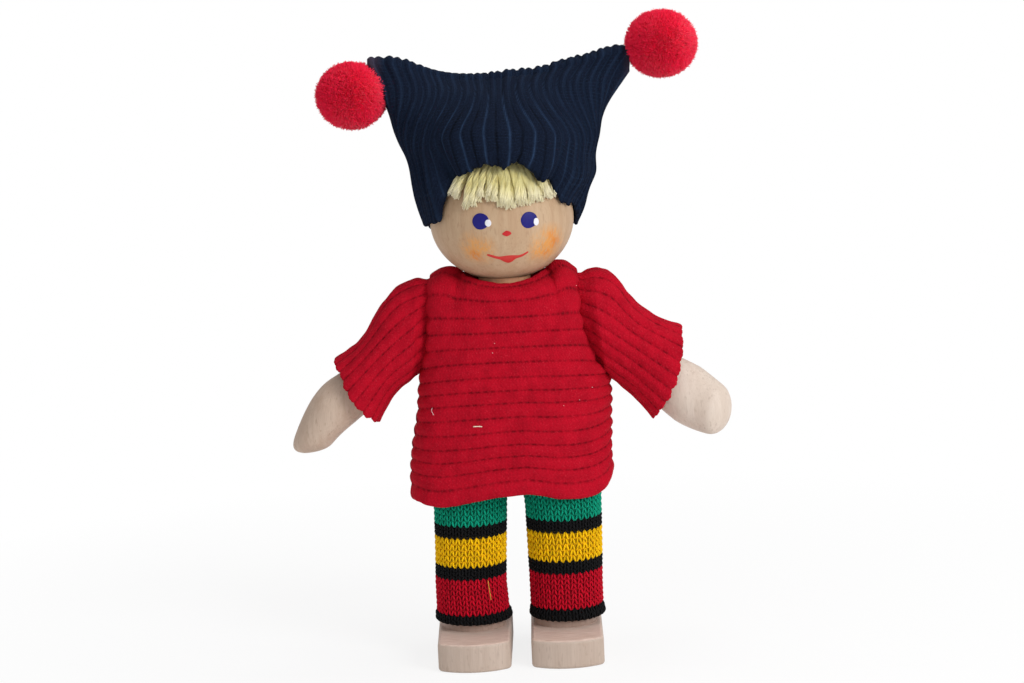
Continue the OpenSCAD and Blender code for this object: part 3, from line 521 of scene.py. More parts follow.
def dab(name, outline, thick, lift, finish):
    # a drop of paint that follows the head: fan of rings inside an outline of (x, z)
    outline = np.array(outline)
    middle = outline.mean(0)
    count, rings = len(outline), 7
    points = []
    for k in range(rings + 1):
        share = math.sin(pi / 2 * k / rings) if k else 0.0
        for x, z in (middle + (outline - middle) * share if k else [middle]):
            height = thick * math.sqrt(max(0.0, 1 - (k / rings) ** 3)) + lift
            y = headSkin(x, z)
            n = Vector((x / head["r"] ** 2, y / head["r"] ** 2, (z - head["z"]) / head["rise"] ** 2)).normalized()
            points.append(Vector((x, y, z)) + n * height)
    for x, z in outline:
        points.append(Vector((x, headSkin(x, z) + 0.25, z)))
    faces = [np.array([[0, 1 + c, 1 + (c + 1) % count] for c in range(count)])]
    faces.append(gridFaces(rings + 1, count, False, True, 1)[:, ::-1])
    faces.append(np.array([[1 + rings * count + c for c in range(count)]]))
    piece = makeMesh(name, np.array(points), faces)
    meshWork(piece, (bpy.ops.mesh.normals_make_consistent, {"inside": False}))
    return dress(piece, finish, "head")


def blob(x, z, halfW, halfH, seed, count=40, rough=0.03):
    rng = np.random.default_rng(seed)
    a = 2 * pi * np.arange(count) / count
    swell = 1 + rough * sum(np.sin(k * a + rng.uniform(0, 6.3)) / k for k in (2, 3, 5))
    return np.stack([x + halfW * swell * np.cos(a), z + halfH * swell * np.sin(a)], 1)


for side, (x, z), (dx, dz), dotHalf in zip(("right", "left"), face["eyes"], face["dots"], face["dotHalf"]):
    dab(side + "Eye", blob(x, z, face["eyeR"], face["eyeR"], 3, 48), 0.06, 0.02, eyePaint)
    dab(side + "EyeDot", blob(dx, dz, *dotHalf, 5, 32), 0.1, 0.06, dotPaint)
nx, nz = face["nose"]
nose = blob(nx, nz, *face["noseHalf"], 11, 32, 0.1)
nose[:, 1] = nz + (nose[:, 1] - nz) * (1.15 - 0.45 * np.abs(nose[:, 0] - nx) / face["noseHalf"][0])
dab("nosePaint", nose, 0.08, 0.02, nosePaint)
spots = np.linspace(0, len(face["upperLip"]) - 1, 61)


def lipLine(points):
    # through the points, with the corners rounded
    points = np.array(points)
    return softened(np.stack([np.interp(spots, range(len(points)), points[:, k]) for k in (0, 1)], 1), 6)


topLine, lowLine = lipLine(face["upperLip"]), lipLine(face["lowerLip"])
# how far over from the lower to the upper lip each row lies, and how proud it stands
lipPlaces = ((0, -0.2), (0, 0.0), (0.15, 0.04), (0.5, 0.06), (0.85, 0.04), (1, 0.0), (1, -0.2))
rows = [np.array([[x, headSkin(x, z, 0.02) - proud, z] for x, z in lerp(lowLine, topLine, share)])
        for share, proud in lipPlaces]
starts = np.arange(len(rows)) * len(spots)
mouth = makeMesh("mouthPaint", np.concatenate(rows), [
    gridFaces(len(rows), len(spots), True, False), starts[None, ::-1], starts[None] + len(spots) - 1])
dress(mouth, lipPaint, "head")
print("the head and its paint are made")


# hands: the CAD's shapes, made smooth
def smoothCopy(nodeName, name):
    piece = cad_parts[nodeName].copy()
    piece.data = piece.data.copy()
    for key in list(piece.keys()):
        del piece[key]
    piece.parent = None
    piece.name = name
    scene.collection.objects.link(piece)
    meshWork(piece, (bpy.ops.mesh.remove_doubles, {"threshold": 0.00001}), (bpy.ops.mesh.tris_convert_to_quads, {}))
    soft = piece.modifiers.new("soft", "SUBSURF")
    soft.levels = soft.render_levels = 1
    bpy.ops.object.modifier_apply(modifier="soft")
    bpy.ops.object.shade_smooth_by_angle(angle=math.radians(60))
    return piece


# each hand's wrist (x, z), how far its tip is carved over, out and up, how much slimmer it ends and how much
# fuller its back is near the wrist
hands = {"right": {"wrist": (-26.57, 48.12), "tip": (-0.1, -1.6), "slim": 0.35, "full": 0.0},
         "left": {"wrist": (26.34, 47.77), "tip": (-0.8, -1.0), "slim": 0.0, "full": 1.2}}
for side, carved in hands.items():
    hand = smoothCopy(side + "_hand", side + "Hand")
    wrist, long = Vector((carved["wrist"][0] * mm, 0, carved["wrist"][1] * mm)), 14.2 * mm
    way = (wrist - Vector((math.copysign(shoulder[0] * mm, wrist.x), 0, shoulder[2] * mm))).normalized()
    for v in hand.data.vertices:
        far = (v.co - wrist).dot(way) / long
        bent = max(0.0, far) ** 2
        off = v.co - wrist - way * far * long
        v.co -= off * carved["slim"] * bent
        v.co.z += carved["full"] * mm * eased(off.z / (4 * mm)) * eased(1 - far)
        v.co += Vector((carved["tip"][0] * mm, 0, carved["tip"][1] * mm)) * bent
    dress(hand, handBeechShadedAndLit[side], side + "_hand")
    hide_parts(side + "_hand")

# feet: a block with a bowed toe, round corners and an ankle socket
foot = {
    "halfW": 6.3, "bowY": -4.2, "bowR": 10.4, "toeCorner": 1.1, "heelY": 11.5, "heelCorner": 2.2, "high": 5.0,
    "edge": 0.6, "toeY": -14.6, "long": 26.1,
    # how far the heel end of each foot stands over: the right foot's inner side, the whole left foot
    "splay": {"right": 0.6, "left": 0.35},
}


def arc(x, y, r, start, end, count):
    turns = np.radians(np.linspace(start, end, count))
    return np.stack([x + r * np.cos(turns), y + r * np.sin(turns)], 1)


def footOutline():
    inR, heelIn = foot["bowR"] - foot["toeCorner"], foot["halfW"] - foot["heelCorner"]
    reach = math.degrees(math.asin((foot["halfW"] - foot["toeCorner"]) / inR))
    cornerX, cornerY = foot["halfW"] - foot["toeCorner"], foot["bowY"] - inR * math.cos(math.radians(reach))
    heelY = foot["heelY"] - foot["heelCorner"]
    return np.concatenate([
        arc(0, foot["bowY"], foot["bowR"], -90 - reach, -90 + reach, 33)[1:-1],
        arc(cornerX, cornerY, foot["toeCorner"], -90 + reach, 0, 8),
        arc(heelIn, heelY, foot["heelCorner"], 0, 90, 10), arc(-heelIn, heelY, foot["heelCorner"], 90, 180, 10),
        arc(-cornerX, cornerY, foot["toeCorner"], 180, 270 - reach, 8)])


outline = footOutline()
for side, name in bothSides:
    bpy.ops.mesh.primitive_circle_add(vertices=len(outline), radius=foot["halfW"] * mm, fill_type="NGON")
    block = bpy.context.active_object
    block.name = name + "Foot"
    for v, (x, y) in zip(block.data.vertices, outline):
        back = (y - foot["toeY"]) / foot["long"]
        over = foot["splay"][name] * back * (1 if side > 0 else eased(x / foot["halfW"]))
        v.co = ((side * hipX + x + over) * mm, y * mm, 0)
    meshWork(block,
             (bpy.ops.mesh.extrude_region_move, {"TRANSFORM_OT_translate": {"value": (0, 0, foot["high"] * mm)}}),
             (bpy.ops.mesh.normals_make_consistent, {"inside": False}))
    worn = block.modifiers.new("worn", "BEVEL")
    worn.width, worn.segments, worn.limit_method = foot["edge"] * mm, 5, "ANGLE"
    worn.angle_limit, worn.harden_normals = math.radians(50), True
    bpy.ops.object.shade_smooth_by_angle(angle=math.radians(40))
    bpy.ops.object.modifier_apply(modifier="worn")
    low, high = np.array(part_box(name + "_ankle_peg"))
    drilled(block, 48, (high[0] - low[0]) / 2 + 0.05 * mm, high[2] - low[2], (low + high) / 2)
    dress(block, footBeech, name + "_leg")
    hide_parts(name + "_foot")
print("the hands and feet are made")


# hat
hat = {
    "thick": 1.0, "gap": 0.45, "sideGap": 0.2, "seamRise": 25.2, "seamSag": 1.3,
    "brimTurn": [-180, -165, -152, -144.5, -141.5, -140, -138.5, -136.5, -135, -132, -125, -118.5, -116, -109.6, -101,
                 -93.7, -86, -76.4, -70.4, -64, -57.7, -47.4, -43.5, -41, -37.3, -30.7, -20, -8, 2, 12, 30, 90, 150,
                 180],
    "brimRise": [-0.4, 0.4, 1.0, 1.0, 2.6, 4.2, 5.2, 6.6, 7.8, 9.2, 9.0, 9.1, 10.1, 10.7, 10.1, 11.0, 10.2, 10.6, 9.7,
                 9.2, 7.5, 7.8, 5.7, 4.8, 3.4, 3.0, 3.0, 2.4, 0, -1.6, -2.0, -2.2, -1.2, -0.4],
    "bellyW": (15.9, 19.4), "crownW": (16.2, 13.4), "bellyShare": (0.52, 0.56), "crownShare": (0.47, 0.5),
    "bellyFront": 13.4, "bellyBack": 15.5, "crownD": 9.6, "seamT": 2.2,
    "reach": (20.6, 23.2), "tipOut": (1.4, 0.0), "corner": (3.0, 3.1), "edge": (3.6, 3.4), "cornerAt": 0.93,
    "fringe": 1.6, "round": 108, "ribs": 9, "ribDeep": 0.42, "waleDeep": 0.18, "step": 0.22, "lobes": 2.6,
    # how much fuller it is over the left ear, how high over the head's middle, and how far up and down from there
    "leftFull": 0.75, "leftFullZ": 7.3, "leftFullHigh": 2.6,
}
brimTurns = np.arange(-180, 180.5, 0.5)
brimRises = softened(np.interp(brimTurns, hat["brimTurn"], hat["brimRise"]), 5)


def hatRing(turn, up, inside):
    # a point by its turn about the head and its place from the brim (0) to the seam (1)
    cosT, sinT = np.cos(turn), np.sin(turn)
    less = hat["thick"] if inside else 0

    def pick(pair):
        return np.where(cosT > 0, pair[1], pair[0])

    def guide(halfWs, front, rear, sideShares, middleShare):
        z = head["z"] + hat["seamRise"] * lerp(middleShare, pick(sideShares), cosT ** 2) - less
        return np.stack([(pick(halfWs) - less) * cosT, (np.where(sinT > 0, rear, front) - less) * sinT, z], -1)

    fromFront = np.abs((np.degrees(turn) + 90 + 180) % 360 - 180)
    share = eased((fromFront - 22) / 34)
    rise = np.interp((np.degrees(turn) + 180) % 360 - 180, brimTurns, brimRises)
    rise = rise + 0.25 * np.sin(18 * turn) * eased((sinT + 0.3) / 0.3)
    thick = 0 if inside else hat["thick"] * (1 - 0.4 * np.maximum(0, cosT) ** 2)  # it is drawn thin over the left ear
    grown = lerp(hat["gap"], hat["sideGap"], cosT ** 2) + hat["fringe"] * (1 - share ** 2) + thick
    above = np.maximum(0, rise) - grown / 2 * (1 - share)
    r = (head["r"] + grown) * np.where(above > 0, np.sqrt(np.maximum(0, 1 - (above / (head["rise"] + grown)) ** 2)), 1)
    brim = np.stack([r * cosT, r * sinT, head["z"] + rise], -1)

    along = np.minimum(1, np.abs(cosT) / hat["cornerAt"])
    down = np.maximum(0, (np.abs(cosT) - hat["cornerAt"]) / 0.07)
    halfT = hat["seamT"] / 2 - 0.8 * less
    y = halfT * np.sign(np.round(sinT, 9)) * np.minimum(1, np.abs(sinT) / math.sin(math.radians(20)))
    tip = np.maximum(0, (along - 0.86) / 0.14)
    z = head["z"] + hat["seamRise"] + pick(hat["corner"]) * along ** 2 - hat["seamSag"] * np.cos(pi / 2 * along) ** 2
    z = z - 0.6 * tip ** 2 - (pick(hat["edge"]) - less) * down - 2 * less
    tipOut = pick(hat["tipOut"]) * eased((along - 0.75) / 0.25) * (1 - 0.8 * down)
    seam = np.stack([np.sign(cosT) * ((pick(hat["reach"]) - 3 * less) * along + tipOut), y, z], -1)
    wall = bezier(brim, guide(hat["bellyW"], hat["bellyFront"], hat["bellyBack"], hat["bellyShare"], 0.52),
                  guide(hat["crownW"], hat["crownD"], hat["crownD"], hat["crownShare"], 0.85), seam, up)
    fullAt = (wall[..., 2] - head["z"] - hat["leftFullZ"]) / hat["leftFullHigh"]
    wall[..., 0] += hat["leftFull"] * np.maximum(0, cosT) ** 2 * np.exp(-fullAt ** 2)
    return wall


def ribCount(turn, up):
    # ribs counted from the front's middle (0) to each side (9) and on round the back: wide ones where
    # the knit is stretched over the forehead, narrow ones at the sides, even ones along the seam
    around = np.abs((turn + pi / 2 + pi) % (2 * pi) - pi)
    front = np.where(around > pi / 2, pi - around, around)
    fine = np.linspace(0, pi / 2, 200)
    arc = np.concatenate([[0], np.cumsum(np.hypot(np.diff(17 * np.sin(fine)), np.diff(14 * np.cos(fine))))])
    share = np.interp(front, fine, arc / arc[-1])
    atBelly = hat["ribs"] * (0.56 * share + 0.44 * share ** 3)
    x = 0.95 * np.minimum(1, np.sin(front) / hat["cornerAt"])
    x = x + 0.05 * np.maximum(0, (np.sin(front) - hat["cornerAt"]) / 0.07)
    count = lerp(atBelly, hat["ribs"] * x, eased((up - 0.38) / 0.56))
    count = np.where(around > pi / 2, 2 * hat["ribs"] - count, count)
    return count * np.where(((turn + pi / 2) % (2 * pi)) > pi, -1, 1)


hatCols = 2 * int(round(hat["round"] / hat["step"] / 2))
fine = np.linspace(0, 1, 80)
upPlaces, along = evenly(fine, np.array([hatRing(np.array([-2.2]), up, False)[0] for up in fine]), hat["step"])
ups, turns = np.meshgrid(upPlaces, -pi + 2 * pi * np.arange(hatCols) / hatCols, indexing="ij")
outer, inner = hatRing(turns, ups[..., None], False), hatRing(turns, ups[..., None] * 0.9, True)
count = ribCount(turns, ups) - 0.44  # a whole number is the thin raised line between two ribs
ridgeLine = np.exp(-(np.abs((count + 0.5) % 1 - 0.5) / 0.045) ** 2)
betweenLines = np.exp(-(np.abs(count % 1 - 0.5) / 0.09) ** 2)
high = eased((ups - 0.55) / 0.4)
tight = np.maximum(high, eased((np.abs(np.cos(turns)) - 0.45) / 0.4))  # where the ribs stay narrow
deep = hat["ribDeep"] * (0.4 + 0.35 * tight) * np.abs(np.sin(pi * (count + 0.08))) ** 0.8
fineWale = hat["waleDeep"] * (1 + 1.4 * tight) * np.abs(np.sin(2 * pi * count)) ** 0.7
lift = (deep + fineWale) * (0.75 + 0.3 * waves(outer, 9, 21)) + 0.2 * ridgeLine * (1 - 0.5 * high)
lift = lift + 0.16 * waves(outer, 7, 4) - hat["ribDeep"] * 0.6
outer = outer + outward(outer, True) * lift[..., None]
lobes = 0.35 * waves(outer[:1], 2.6, 9) + 0.25 * waves(outer[:1], 1.2, 10)
for wall in (outer, inner):
    wall[..., 2] -= lobes * (1 - eased(along / hat["lobes"]))[:, None]


def hatMesh(outer, inner, fields):
    # inside with its own closed end, brim roll, outside, and a crest where front and back meet
    rows, cols = outer.shape[:2]
    roll, crestRows, innerCrestRows = 5, 4, 2
    keep = np.arange(0, rows, 5)

    def crest(last, count, high):
        out = []
        for t in pi / 2 * np.arange(1, count + 1) / count:
            z = last[:, 2] + np.abs(last[:, 1]) * math.sin(t) * high
            out.append(np.stack([last[:, 0], last[:, 1] * math.cos(t), z], 1))
        return np.array(out)

    middle, half = (outer[0] + inner[0]) / 2, (inner[0] - outer[0]) / 2
    brim = np.stack([middle + half * math.cos(t) + np.array([0, 0, -1]) * 0.55 * math.sin(t)
                     for t in pi * np.arange(1, roll + 1) / (roll + 1)])
    whole = np.concatenate([crest(inner[keep][-1], innerCrestRows, 0.5)[::-1], inner[keep][::-1], brim, outer,
                            crest(outer[-1], crestRows, 0.9)])
    # the last row of each end lies on the middle plane: its back half is the front half's points
    columns = np.arange(cols // 2 + 1, cols)
    swap = np.arange(len(whole) * cols)
    for row in (0, len(whole) - 1):
        swap[row * cols + columns] = row * cols + (cols - columns) % cols
    spread = {}
    for key, values in fields.items():
        parts = [np.repeat(values[keep][-1:], innerCrestRows, 0), values[keep][::-1], np.repeat(values[:1], roll, 0),
                 values, np.repeat(values[-1:], crestRows, 0)]
        spread[key] = np.concatenate(parts).reshape(-1)
    return makeMesh("hatKnit", whole.reshape(-1, 3)[swap], [gridFaces(len(whole), cols, False, True)], spread)


fromTip = np.abs(outer[..., 0]) - np.where(outer[..., 0] > 0, *hat["reach"][::-1])
hatPiece = hatMesh(outer, inner, {
    "tip": eased((fromTip + 1.6) / 2.2) * high, "rib": count * 2,
    "stitch": np.broadcast_to(along[:, None] / 0.55, count.shape),
    # the ridge field marks the raised lines for their painted highlight
    "ridge": ridgeLine * (1 - 0.5 * tight) + 0.45 * tight * betweenLines,
})
meshWork(hatPiece, (bpy.ops.mesh.remove_doubles, {"threshold": 0.000002}))
dress(hatPiece, navyKnit, "head")
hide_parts("hat")
print("the hat is made")


# pompoms
pompom = {"d": 12.6, "fibres": 20000, "clumps": 420, "thick": 0.062, "drop": 4.2, "rise": 2.0, "flat": 0.935,
          "inward": 0.45, "lift": (0.1, 0.3), "core": 0.86, "coreRows": 23, "coreCols": 48}
for k, (side, name) in enumerate(bothSides):
    rng = np.random.default_rng(7 + side)
    r, squat = pompom["d"] / 2, np.array([1, 1, pompom["flat"]])
    up = -pompom["drop"] if side < 0 else pompom["rise"]
    z = head["z"] + hat["seamRise"] + hat["corner"][k] - hat["edge"][k] / 2
    centre = np.array([side * (hat["reach"][k] + math.sqrt(r ** 2 - up ** 2) - pompom["inward"]), 0,
                       z + up + pompom["lift"][k]])
    ways = unit(rng.normal(size=(pompom["fibres"], 3)))
    clumps = unit(rng.normal(size=(pompom["clumps"], 3)))
    nearest = clumps[np.argmax(ways @ clumps.T, 1)]
    tips = unit(ways + (nearest - ways) * 0.12 + rng.normal(size=ways.shape) * 0.045)
    closeness = (tips * nearest).sum(1)
    reach = r * (0.96 + 0.02 * eased((closeness - 0.985) / 0.015) + rng.normal(size=len(ways)) * 0.028)
    reach = np.minimum(reach, r * 1.045)
    paths = np.stack([ways * r * 0.78, lerp(ways, tips, 0.6) * (reach * 0.9)[:, None], tips * reach[:, None]], 1)
    radii = np.broadcast_to(pompom["thick"] * np.array([0.8, 1.0, 0.75]), (len(ways), 3))
    fibrePoints, fibreFaces = strands(paths * squat + centre, radii, 3)
    # the solid core is a ball with a pole at each end
    rows, cols = pompom["coreRows"], pompom["coreCols"]
    u, v = np.meshgrid(np.linspace(-pi / 2, pi / 2, rows + 2)[1:-1], 2 * pi * np.arange(cols) / cols, indexing="ij")
    core = np.stack([np.cos(u) * np.cos(v), np.cos(u) * np.sin(v), np.sin(u)], -1) * r * pompom["core"]
    core = np.concatenate([core.reshape(-1, 3), [[0, 0, end * r * pompom["core"]] for end in (-1, 1)]])
    c, ends = np.arange(cols), np.full(cols, rows * cols)
    low = np.stack([ends, (c + 1) % cols, c], 1)
    high = np.stack([ends + 1, (rows - 1) * cols + c, (rows - 1) * cols + (c + 1) % cols], 1)
    faces = [gridFaces(rows, cols, False, True), low, high] + [f + len(core) for f in fibreFaces]
    ball = makeMesh(name + "Pompom", np.concatenate([core * squat + centre, fibrePoints]), faces)
    dress(ball, crimsonYarn, "head")
    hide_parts(name + "_pompom")
print("the pompoms are made")


# fringe: twisted strands of yarn with frayed ends
fringe = {
    "halfAngle": 55, "turned": 1.5, "gapAt": -33, "gapHalf": 2.4, "fibres": 44, "twist": 5, "topAngle": 78,
    "fibreR": 0.13, "plyR": 0.36, "layers": (20, 19),
    "lowX": [-9.1, -7.9, -6.7, -5.6, -4.4, -3.2, -2.1, -0.7, 0.65, 2.0, 3.4, 5.2, 7.0, 8.6, 10.3],
    "lowZ": [82.3, 81.8, 80.7, 79.9, 80.7, 81.8, 81.7, 80.5, 80.0, 79.9, 80.3, 80.6, 80.9, 81.2, 81.5],
}
rng = np.random.default_rng(12)
paths, radii, tones = [], [], []
for layer, many in enumerate(fringe["layers"]):
    for k in range(many):
        across = 2 * (k + 0.5) / many - 1
        turnLow = math.radians(fringe["turned"] + fringe["halfAngle"] * across + rng.uniform(-1.2, 1.2))
        turnTop = turnLow * rng.uniform(0.8, 0.92)
        if abs(math.degrees(turnLow) - fringe["gapAt"]) < fringe["gapHalf"]:
            continue
        lowZ = np.interp(head["r"] * math.sin(turnLow), fringe["lowX"], fringe["lowZ"])
        lowZ = lowZ + rng.uniform(-0.15, 0.15) + 0.3 * layer
        lowUp = math.asin(min(1, (lowZ - head["z"] - 0.3) / head["rise"]))
        sway = rng.uniform(-0.02, 0.02)
        seatR = 0.45 + 0.62 * layer
        swirlAt = rng.uniform(0, 2 * pi)
        for f in range(fringe["fibres"]):
            s = np.linspace(0, 1, 13) * rng.uniform(0.93, 1.0)
            up = lerp(math.radians(fringe["topAngle"]), lowUp, s)
            turn = lerp(turnTop, turnLow, s) + sway * np.sin(s * 5)
            ply, swirl = f % 2, rng.uniform(0, 2 * pi)
            out = fringe["plyR"] * math.sqrt(rng.uniform(0.1, 1))
            plyTurn = 2 * pi * s * 9 / fringe["twist"] + ply * pi + swirlAt
            flare = 1 + 0.45 * eased((s - 0.7) / 0.3)
            offA = (0.2 * np.cos(plyTurn) + out * np.cos(plyTurn + swirl)) * flare
            offR = 0.14 * np.sin(plyTurn) + out * np.sin(plyTurn + swirl)
            grown = np.maximum(0.15, seatR + offR * 0.8)
            rr = head["r"] + grown
            a = turn + offA / rr / np.maximum(0.3, np.cos(up))
            paths.append(np.stack([rr * np.cos(up) * np.sin(a), -rr * np.cos(up) * np.cos(a),
                                   head["z"] + (head["rise"] + grown) * np.sin(up)], 1))
            tones.append(eased((s - 0.72) / 0.25) * 0.9 * rng.uniform(0.6, 1) + 0.5 * abs(across) ** 4)
            radii.append(fringe["fibreR"] * (1 - 0.6 * eased((s - s[-1] + 0.14) / 0.14)) * rng.uniform(0.8, 1.15))
hair = strandPiece("fringeYarn", np.array(paths), np.array(radii), 5, "tone", np.minimum(1, np.array(tones)))
dress(hair, creamYarn, "head")
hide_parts("hair_fringe")
print("the fringe is made")


# sweater
sweater = {
    "thick": 1.4, "hemZ": 30.0, "chestZ": 60.333, "armpitZ": 49.4, "seamZ": 67.8, "collarZ": 66.6, "collarBack": 0.5,
    "collarSide": 1.5, "swell": (1.2, 1.55), "hemW": 17.4, "armpitW": 15.8, "chestW": 15.0, "shoulderW": 12.8,
    "hemD": 9.9, "chestD": 8.8, "collarW": 7.2, "collarD": 6.6, "tilt": 3.4, "wave": 0.5, "rows": 10, "yoke": 7,
    "beltRow": 6.0, "corner": 2 / 3, "collarShare": 0.44, "ribDeep": 0.32, "stitch": 1.3, "step": 0.19, "splitAt": 15.9,
    # how far the back stands out at the hem, below which height, so that the legs can swing back
    "backFlare": 3.0, "flareZ": 40,
    # how much wider (+) the right and the left side hang than the plain shape, and how the hem waves across
    "wideZ": [30, 34, 39, 44, 47.4, 49.2, 52, 57, 62, 67],
    "wider": ([0.75, 0.85, 0.7, 0.3, 0.2, 0.1, 0, 0, 0, 0], [0.4, 0.4, 1.0, 1.9, 2.1, 2.1, 0.5, -0.5, -1.3, -0.8]),
    "hemX": [-17.4, -16, -14, -11, -3, 2.3, 7.4, 10.5, 14, 16.6, 18],
    "hemUp": [0.4, 0.2, 0.3, 0.4, 0.3, 0.1, -1.4, -1.7, -1.5, -0.9, 0.3],
    "grooves": [-1.4, 1.99, 4.17, 6.21, 8.24, 10.55, 13.03, 15.49, 17.65, 19.97, 22.56, 25.14, 27.73, 30.31, 33.17,
                35.92, 38.57, 41.17],
}
hemZ, armpitZ, chestZ, seamZ = (sweater[key] for key in ("hemZ", "armpitZ", "chestZ", "seamZ"))
hemW, armpitW, chestW, shoulderW = (sweater[key] for key in ("hemW", "armpitW", "chestW", "shoulderW"))


def bodyHalfW(z):
    low = lerp(hemW, armpitW, eased((z - hemZ) / (armpitZ - hemZ)))
    return np.where(z < armpitZ, low, lerp(armpitW, chestW, (z - armpitZ) / (chestZ - armpitZ)))


def panelPoint(row, across, back, less):
    # a point by its row, up the body (0 to 10) and over the yoke (10 to 17), and its place across (-1 to 1)
    z, out = lerp(hemZ, chestZ, np.minimum(1, row / sweater["rows"])), np.abs(across)
    armhole = np.where(z < armpitZ, hemW, lerp(armpitW, shoulderW, (z - armpitZ) / (seamZ - armpitZ)))
    first = np.arccos(np.minimum(1, armhole / bodyHalfW(z)) ** (1 / sweater["corner"]))
    a = lerp(pi - first, first, (across + 1) / 2)
    depth = lerp(sweater["hemD"], sweater["chestD"], np.clip((z - hemZ) / (chestZ - hemZ), 0, 1))
    depth = depth + sweater["backFlare"] * back * (np.maximum(0, sweater["flareZ"] - z) / 10) ** 1.3
    wider = np.where(across < 0, *(np.interp(z, sweater["wideZ"], side) for side in sweater["wider"]))
    lowX = (bodyHalfW(z) - less) * squared(np.cos(a), sweater["corner"]) + np.sign(across) * wider * out ** 3
    sewn = eased((out - 0.86) / 0.14) * eased((z - armpitZ) / 3)
    lowY = -(depth - less) * squared(np.sin(a), sweater["corner"]) + 1.6 * sewn
    hang = 1 - np.minimum(1, row / sweater["rows"])
    ripple = sweater["wave"] * hang * np.sin(np.radians(across * 400 + 60))
    drop = sweater["tilt"] * lowX / (2 * hemW) + ripple + np.interp(lowX, sweater["hemX"], sweater["hemUp"])
    over = pi / 2 * np.maximum(0, row - sweater["rows"]) / sweater["yoke"]
    frontZ = sweater["collarZ"] + (sweater["collarBack"] if back else 0)
    sideZ = sweater["collarZ"] + sweater["collarSide"]
    c = pi / 2 * np.minimum(1, out / sweater["collarShare"])
    share = np.maximum(0, (out - sweater["collarShare"]) / (1 - sweater["collarShare"]))
    highX = np.sign(across) * (sweater["collarW"] * np.sin(c) + (shoulderW - sweater["collarW"]) * share)
    highY = -sweater["collarD"] * np.cos(c)
    swell = np.where(across < 0, *sweater["swell"]) * np.sin(pi * share ** 0.8) ** 0.75
    highZ = np.where(out < sweater["collarShare"], lerp(frontZ, sideZ, np.sin(c) ** 2),
                     lerp(sideZ, seamZ, share ** 1.3) + swell) - less
    y = lerp(lowY, highY, 1 - np.cos(over)) - ripple * np.cos(pi / 2 * across)
    return np.stack([lerp(lowX, highX, 1 - np.cos(over)), y, lerp(z + hang ** 2 * drop, highZ, np.sin(over))], -1)


def panelGrid(back):
    fine = np.linspace(0, sweater["rows"] + sweater["yoke"], 400)
    rows, along = evenly(fine, panelPoint(fine, np.zeros(400), back, 0), sweater["step"])
    fine = np.linspace(-1, 1, 600)
    cols, _ = evenly(fine, panelPoint(np.full(600, sweater["beltRow"]), fine, back, 0), sweater["step"] * 1.12)
    if len(cols) % 2 == 0:  # one column has to lie on the middle
        cols = np.interp(np.linspace(0, 1, len(cols) + 1), np.linspace(0, 1, len(cols)), cols)
    return cols, along, *np.meshgrid(rows, cols, indexing="ij")


def ribbed(outer, ribs, deep, around, seed, uneven=0.16):
    near = np.abs((ribs + 0.5) % 1 - 0.5)
    groove = np.exp(-(near / 0.13) ** 2)
    swell = np.cos(pi * near) ** 2
    lift = -deep * (0.35 * groove + 0.75 * swell) + uneven * waves(outer, 9, seed) + 0.05 * waves(outer, 2.2, seed + 1)
    return outer + outward(outer, around) * lift[..., None]


def mirrored(grids, axis):
    # the sheet on the doll's other side, with its columns in the other order
    for points in grids[:2]:
        points[..., axis] *= -1
    return [grid[:, ::-1] for grid in grids]


def bendAtHip(piece, leg):
    # the piece's place is baked into its mesh; the hip's x is worked out but not used
    x = (-hipX if leg == "right_leg" else hipX) * mm
    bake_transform(piece)


for back in (False, True):
    cols, along, r, c = panelGrid(back)
    outer, inner = panelPoint(r, c, back, 0), panelPoint(r, c, back, sweater["thick"])
    arch = 1.5 * np.exp(-((along - 19) / 8) ** 2)[:, None] * c ** 2
    ribs = np.interp(along[:, None] + arch, sweater["grooves"], range(len(sweater["grooves"])))
    across = wayAlong(panelPoint(np.full(len(cols), sweater["beltRow"]), cols, back, 0))
    stitches = np.broadcast_to(across / sweater["stitch"], r.shape) + 0.5 * (np.round(ribs) % 2)
    outer = ribbed(outer, ribs, sweater["ribDeep"], False, 31 if back else 41)
    grids = [outer, inner, ribs, stitches]
    # each part's rows and columns, its leg (none on the torso), its flat size and how round its low and high edge are
    if back:
        grids = mirrored(grids, 1)
        parts = {"sweaterBack": (slice(None), slice(None), None, (0.046, 0.038), (1, 1))}
    else:
        frontKnit = outer.reshape(-1, 3)
        cut, middle = int(np.argmin(np.abs(along - sweater["splitAt"]))), (len(cols) - 1) // 2
        parts = {
            "sweaterFront": (slice(cut, None), slice(None), None, (0.046, along[-1] * mm - 0.016), (0, 1)),
            "sweaterFrontRight": (slice(0, cut + 1), slice(0, middle + 1), "right_leg", (0.024, 0.016), (1, 0)),
            "sweaterFrontLeft": (slice(0, cut + 1), slice(middle, None), "left_leg", (0.024, 0.016), (1, 0)),
        }
    grids.append(outward(grids[0], False))
    for name, (rowPart, colPart, leg, flat, full) in parts.items():
        piece = knitSheet(name, [grid[rowPart, colPart] for grid in grids], False, full)
        dress(piece, redKnit, None if leg else "torso")
        if leg:
            bendAtHip(piece, leg)
        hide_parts("sweater_back" if back else "sweater_front")
print("the sweater's body is made")


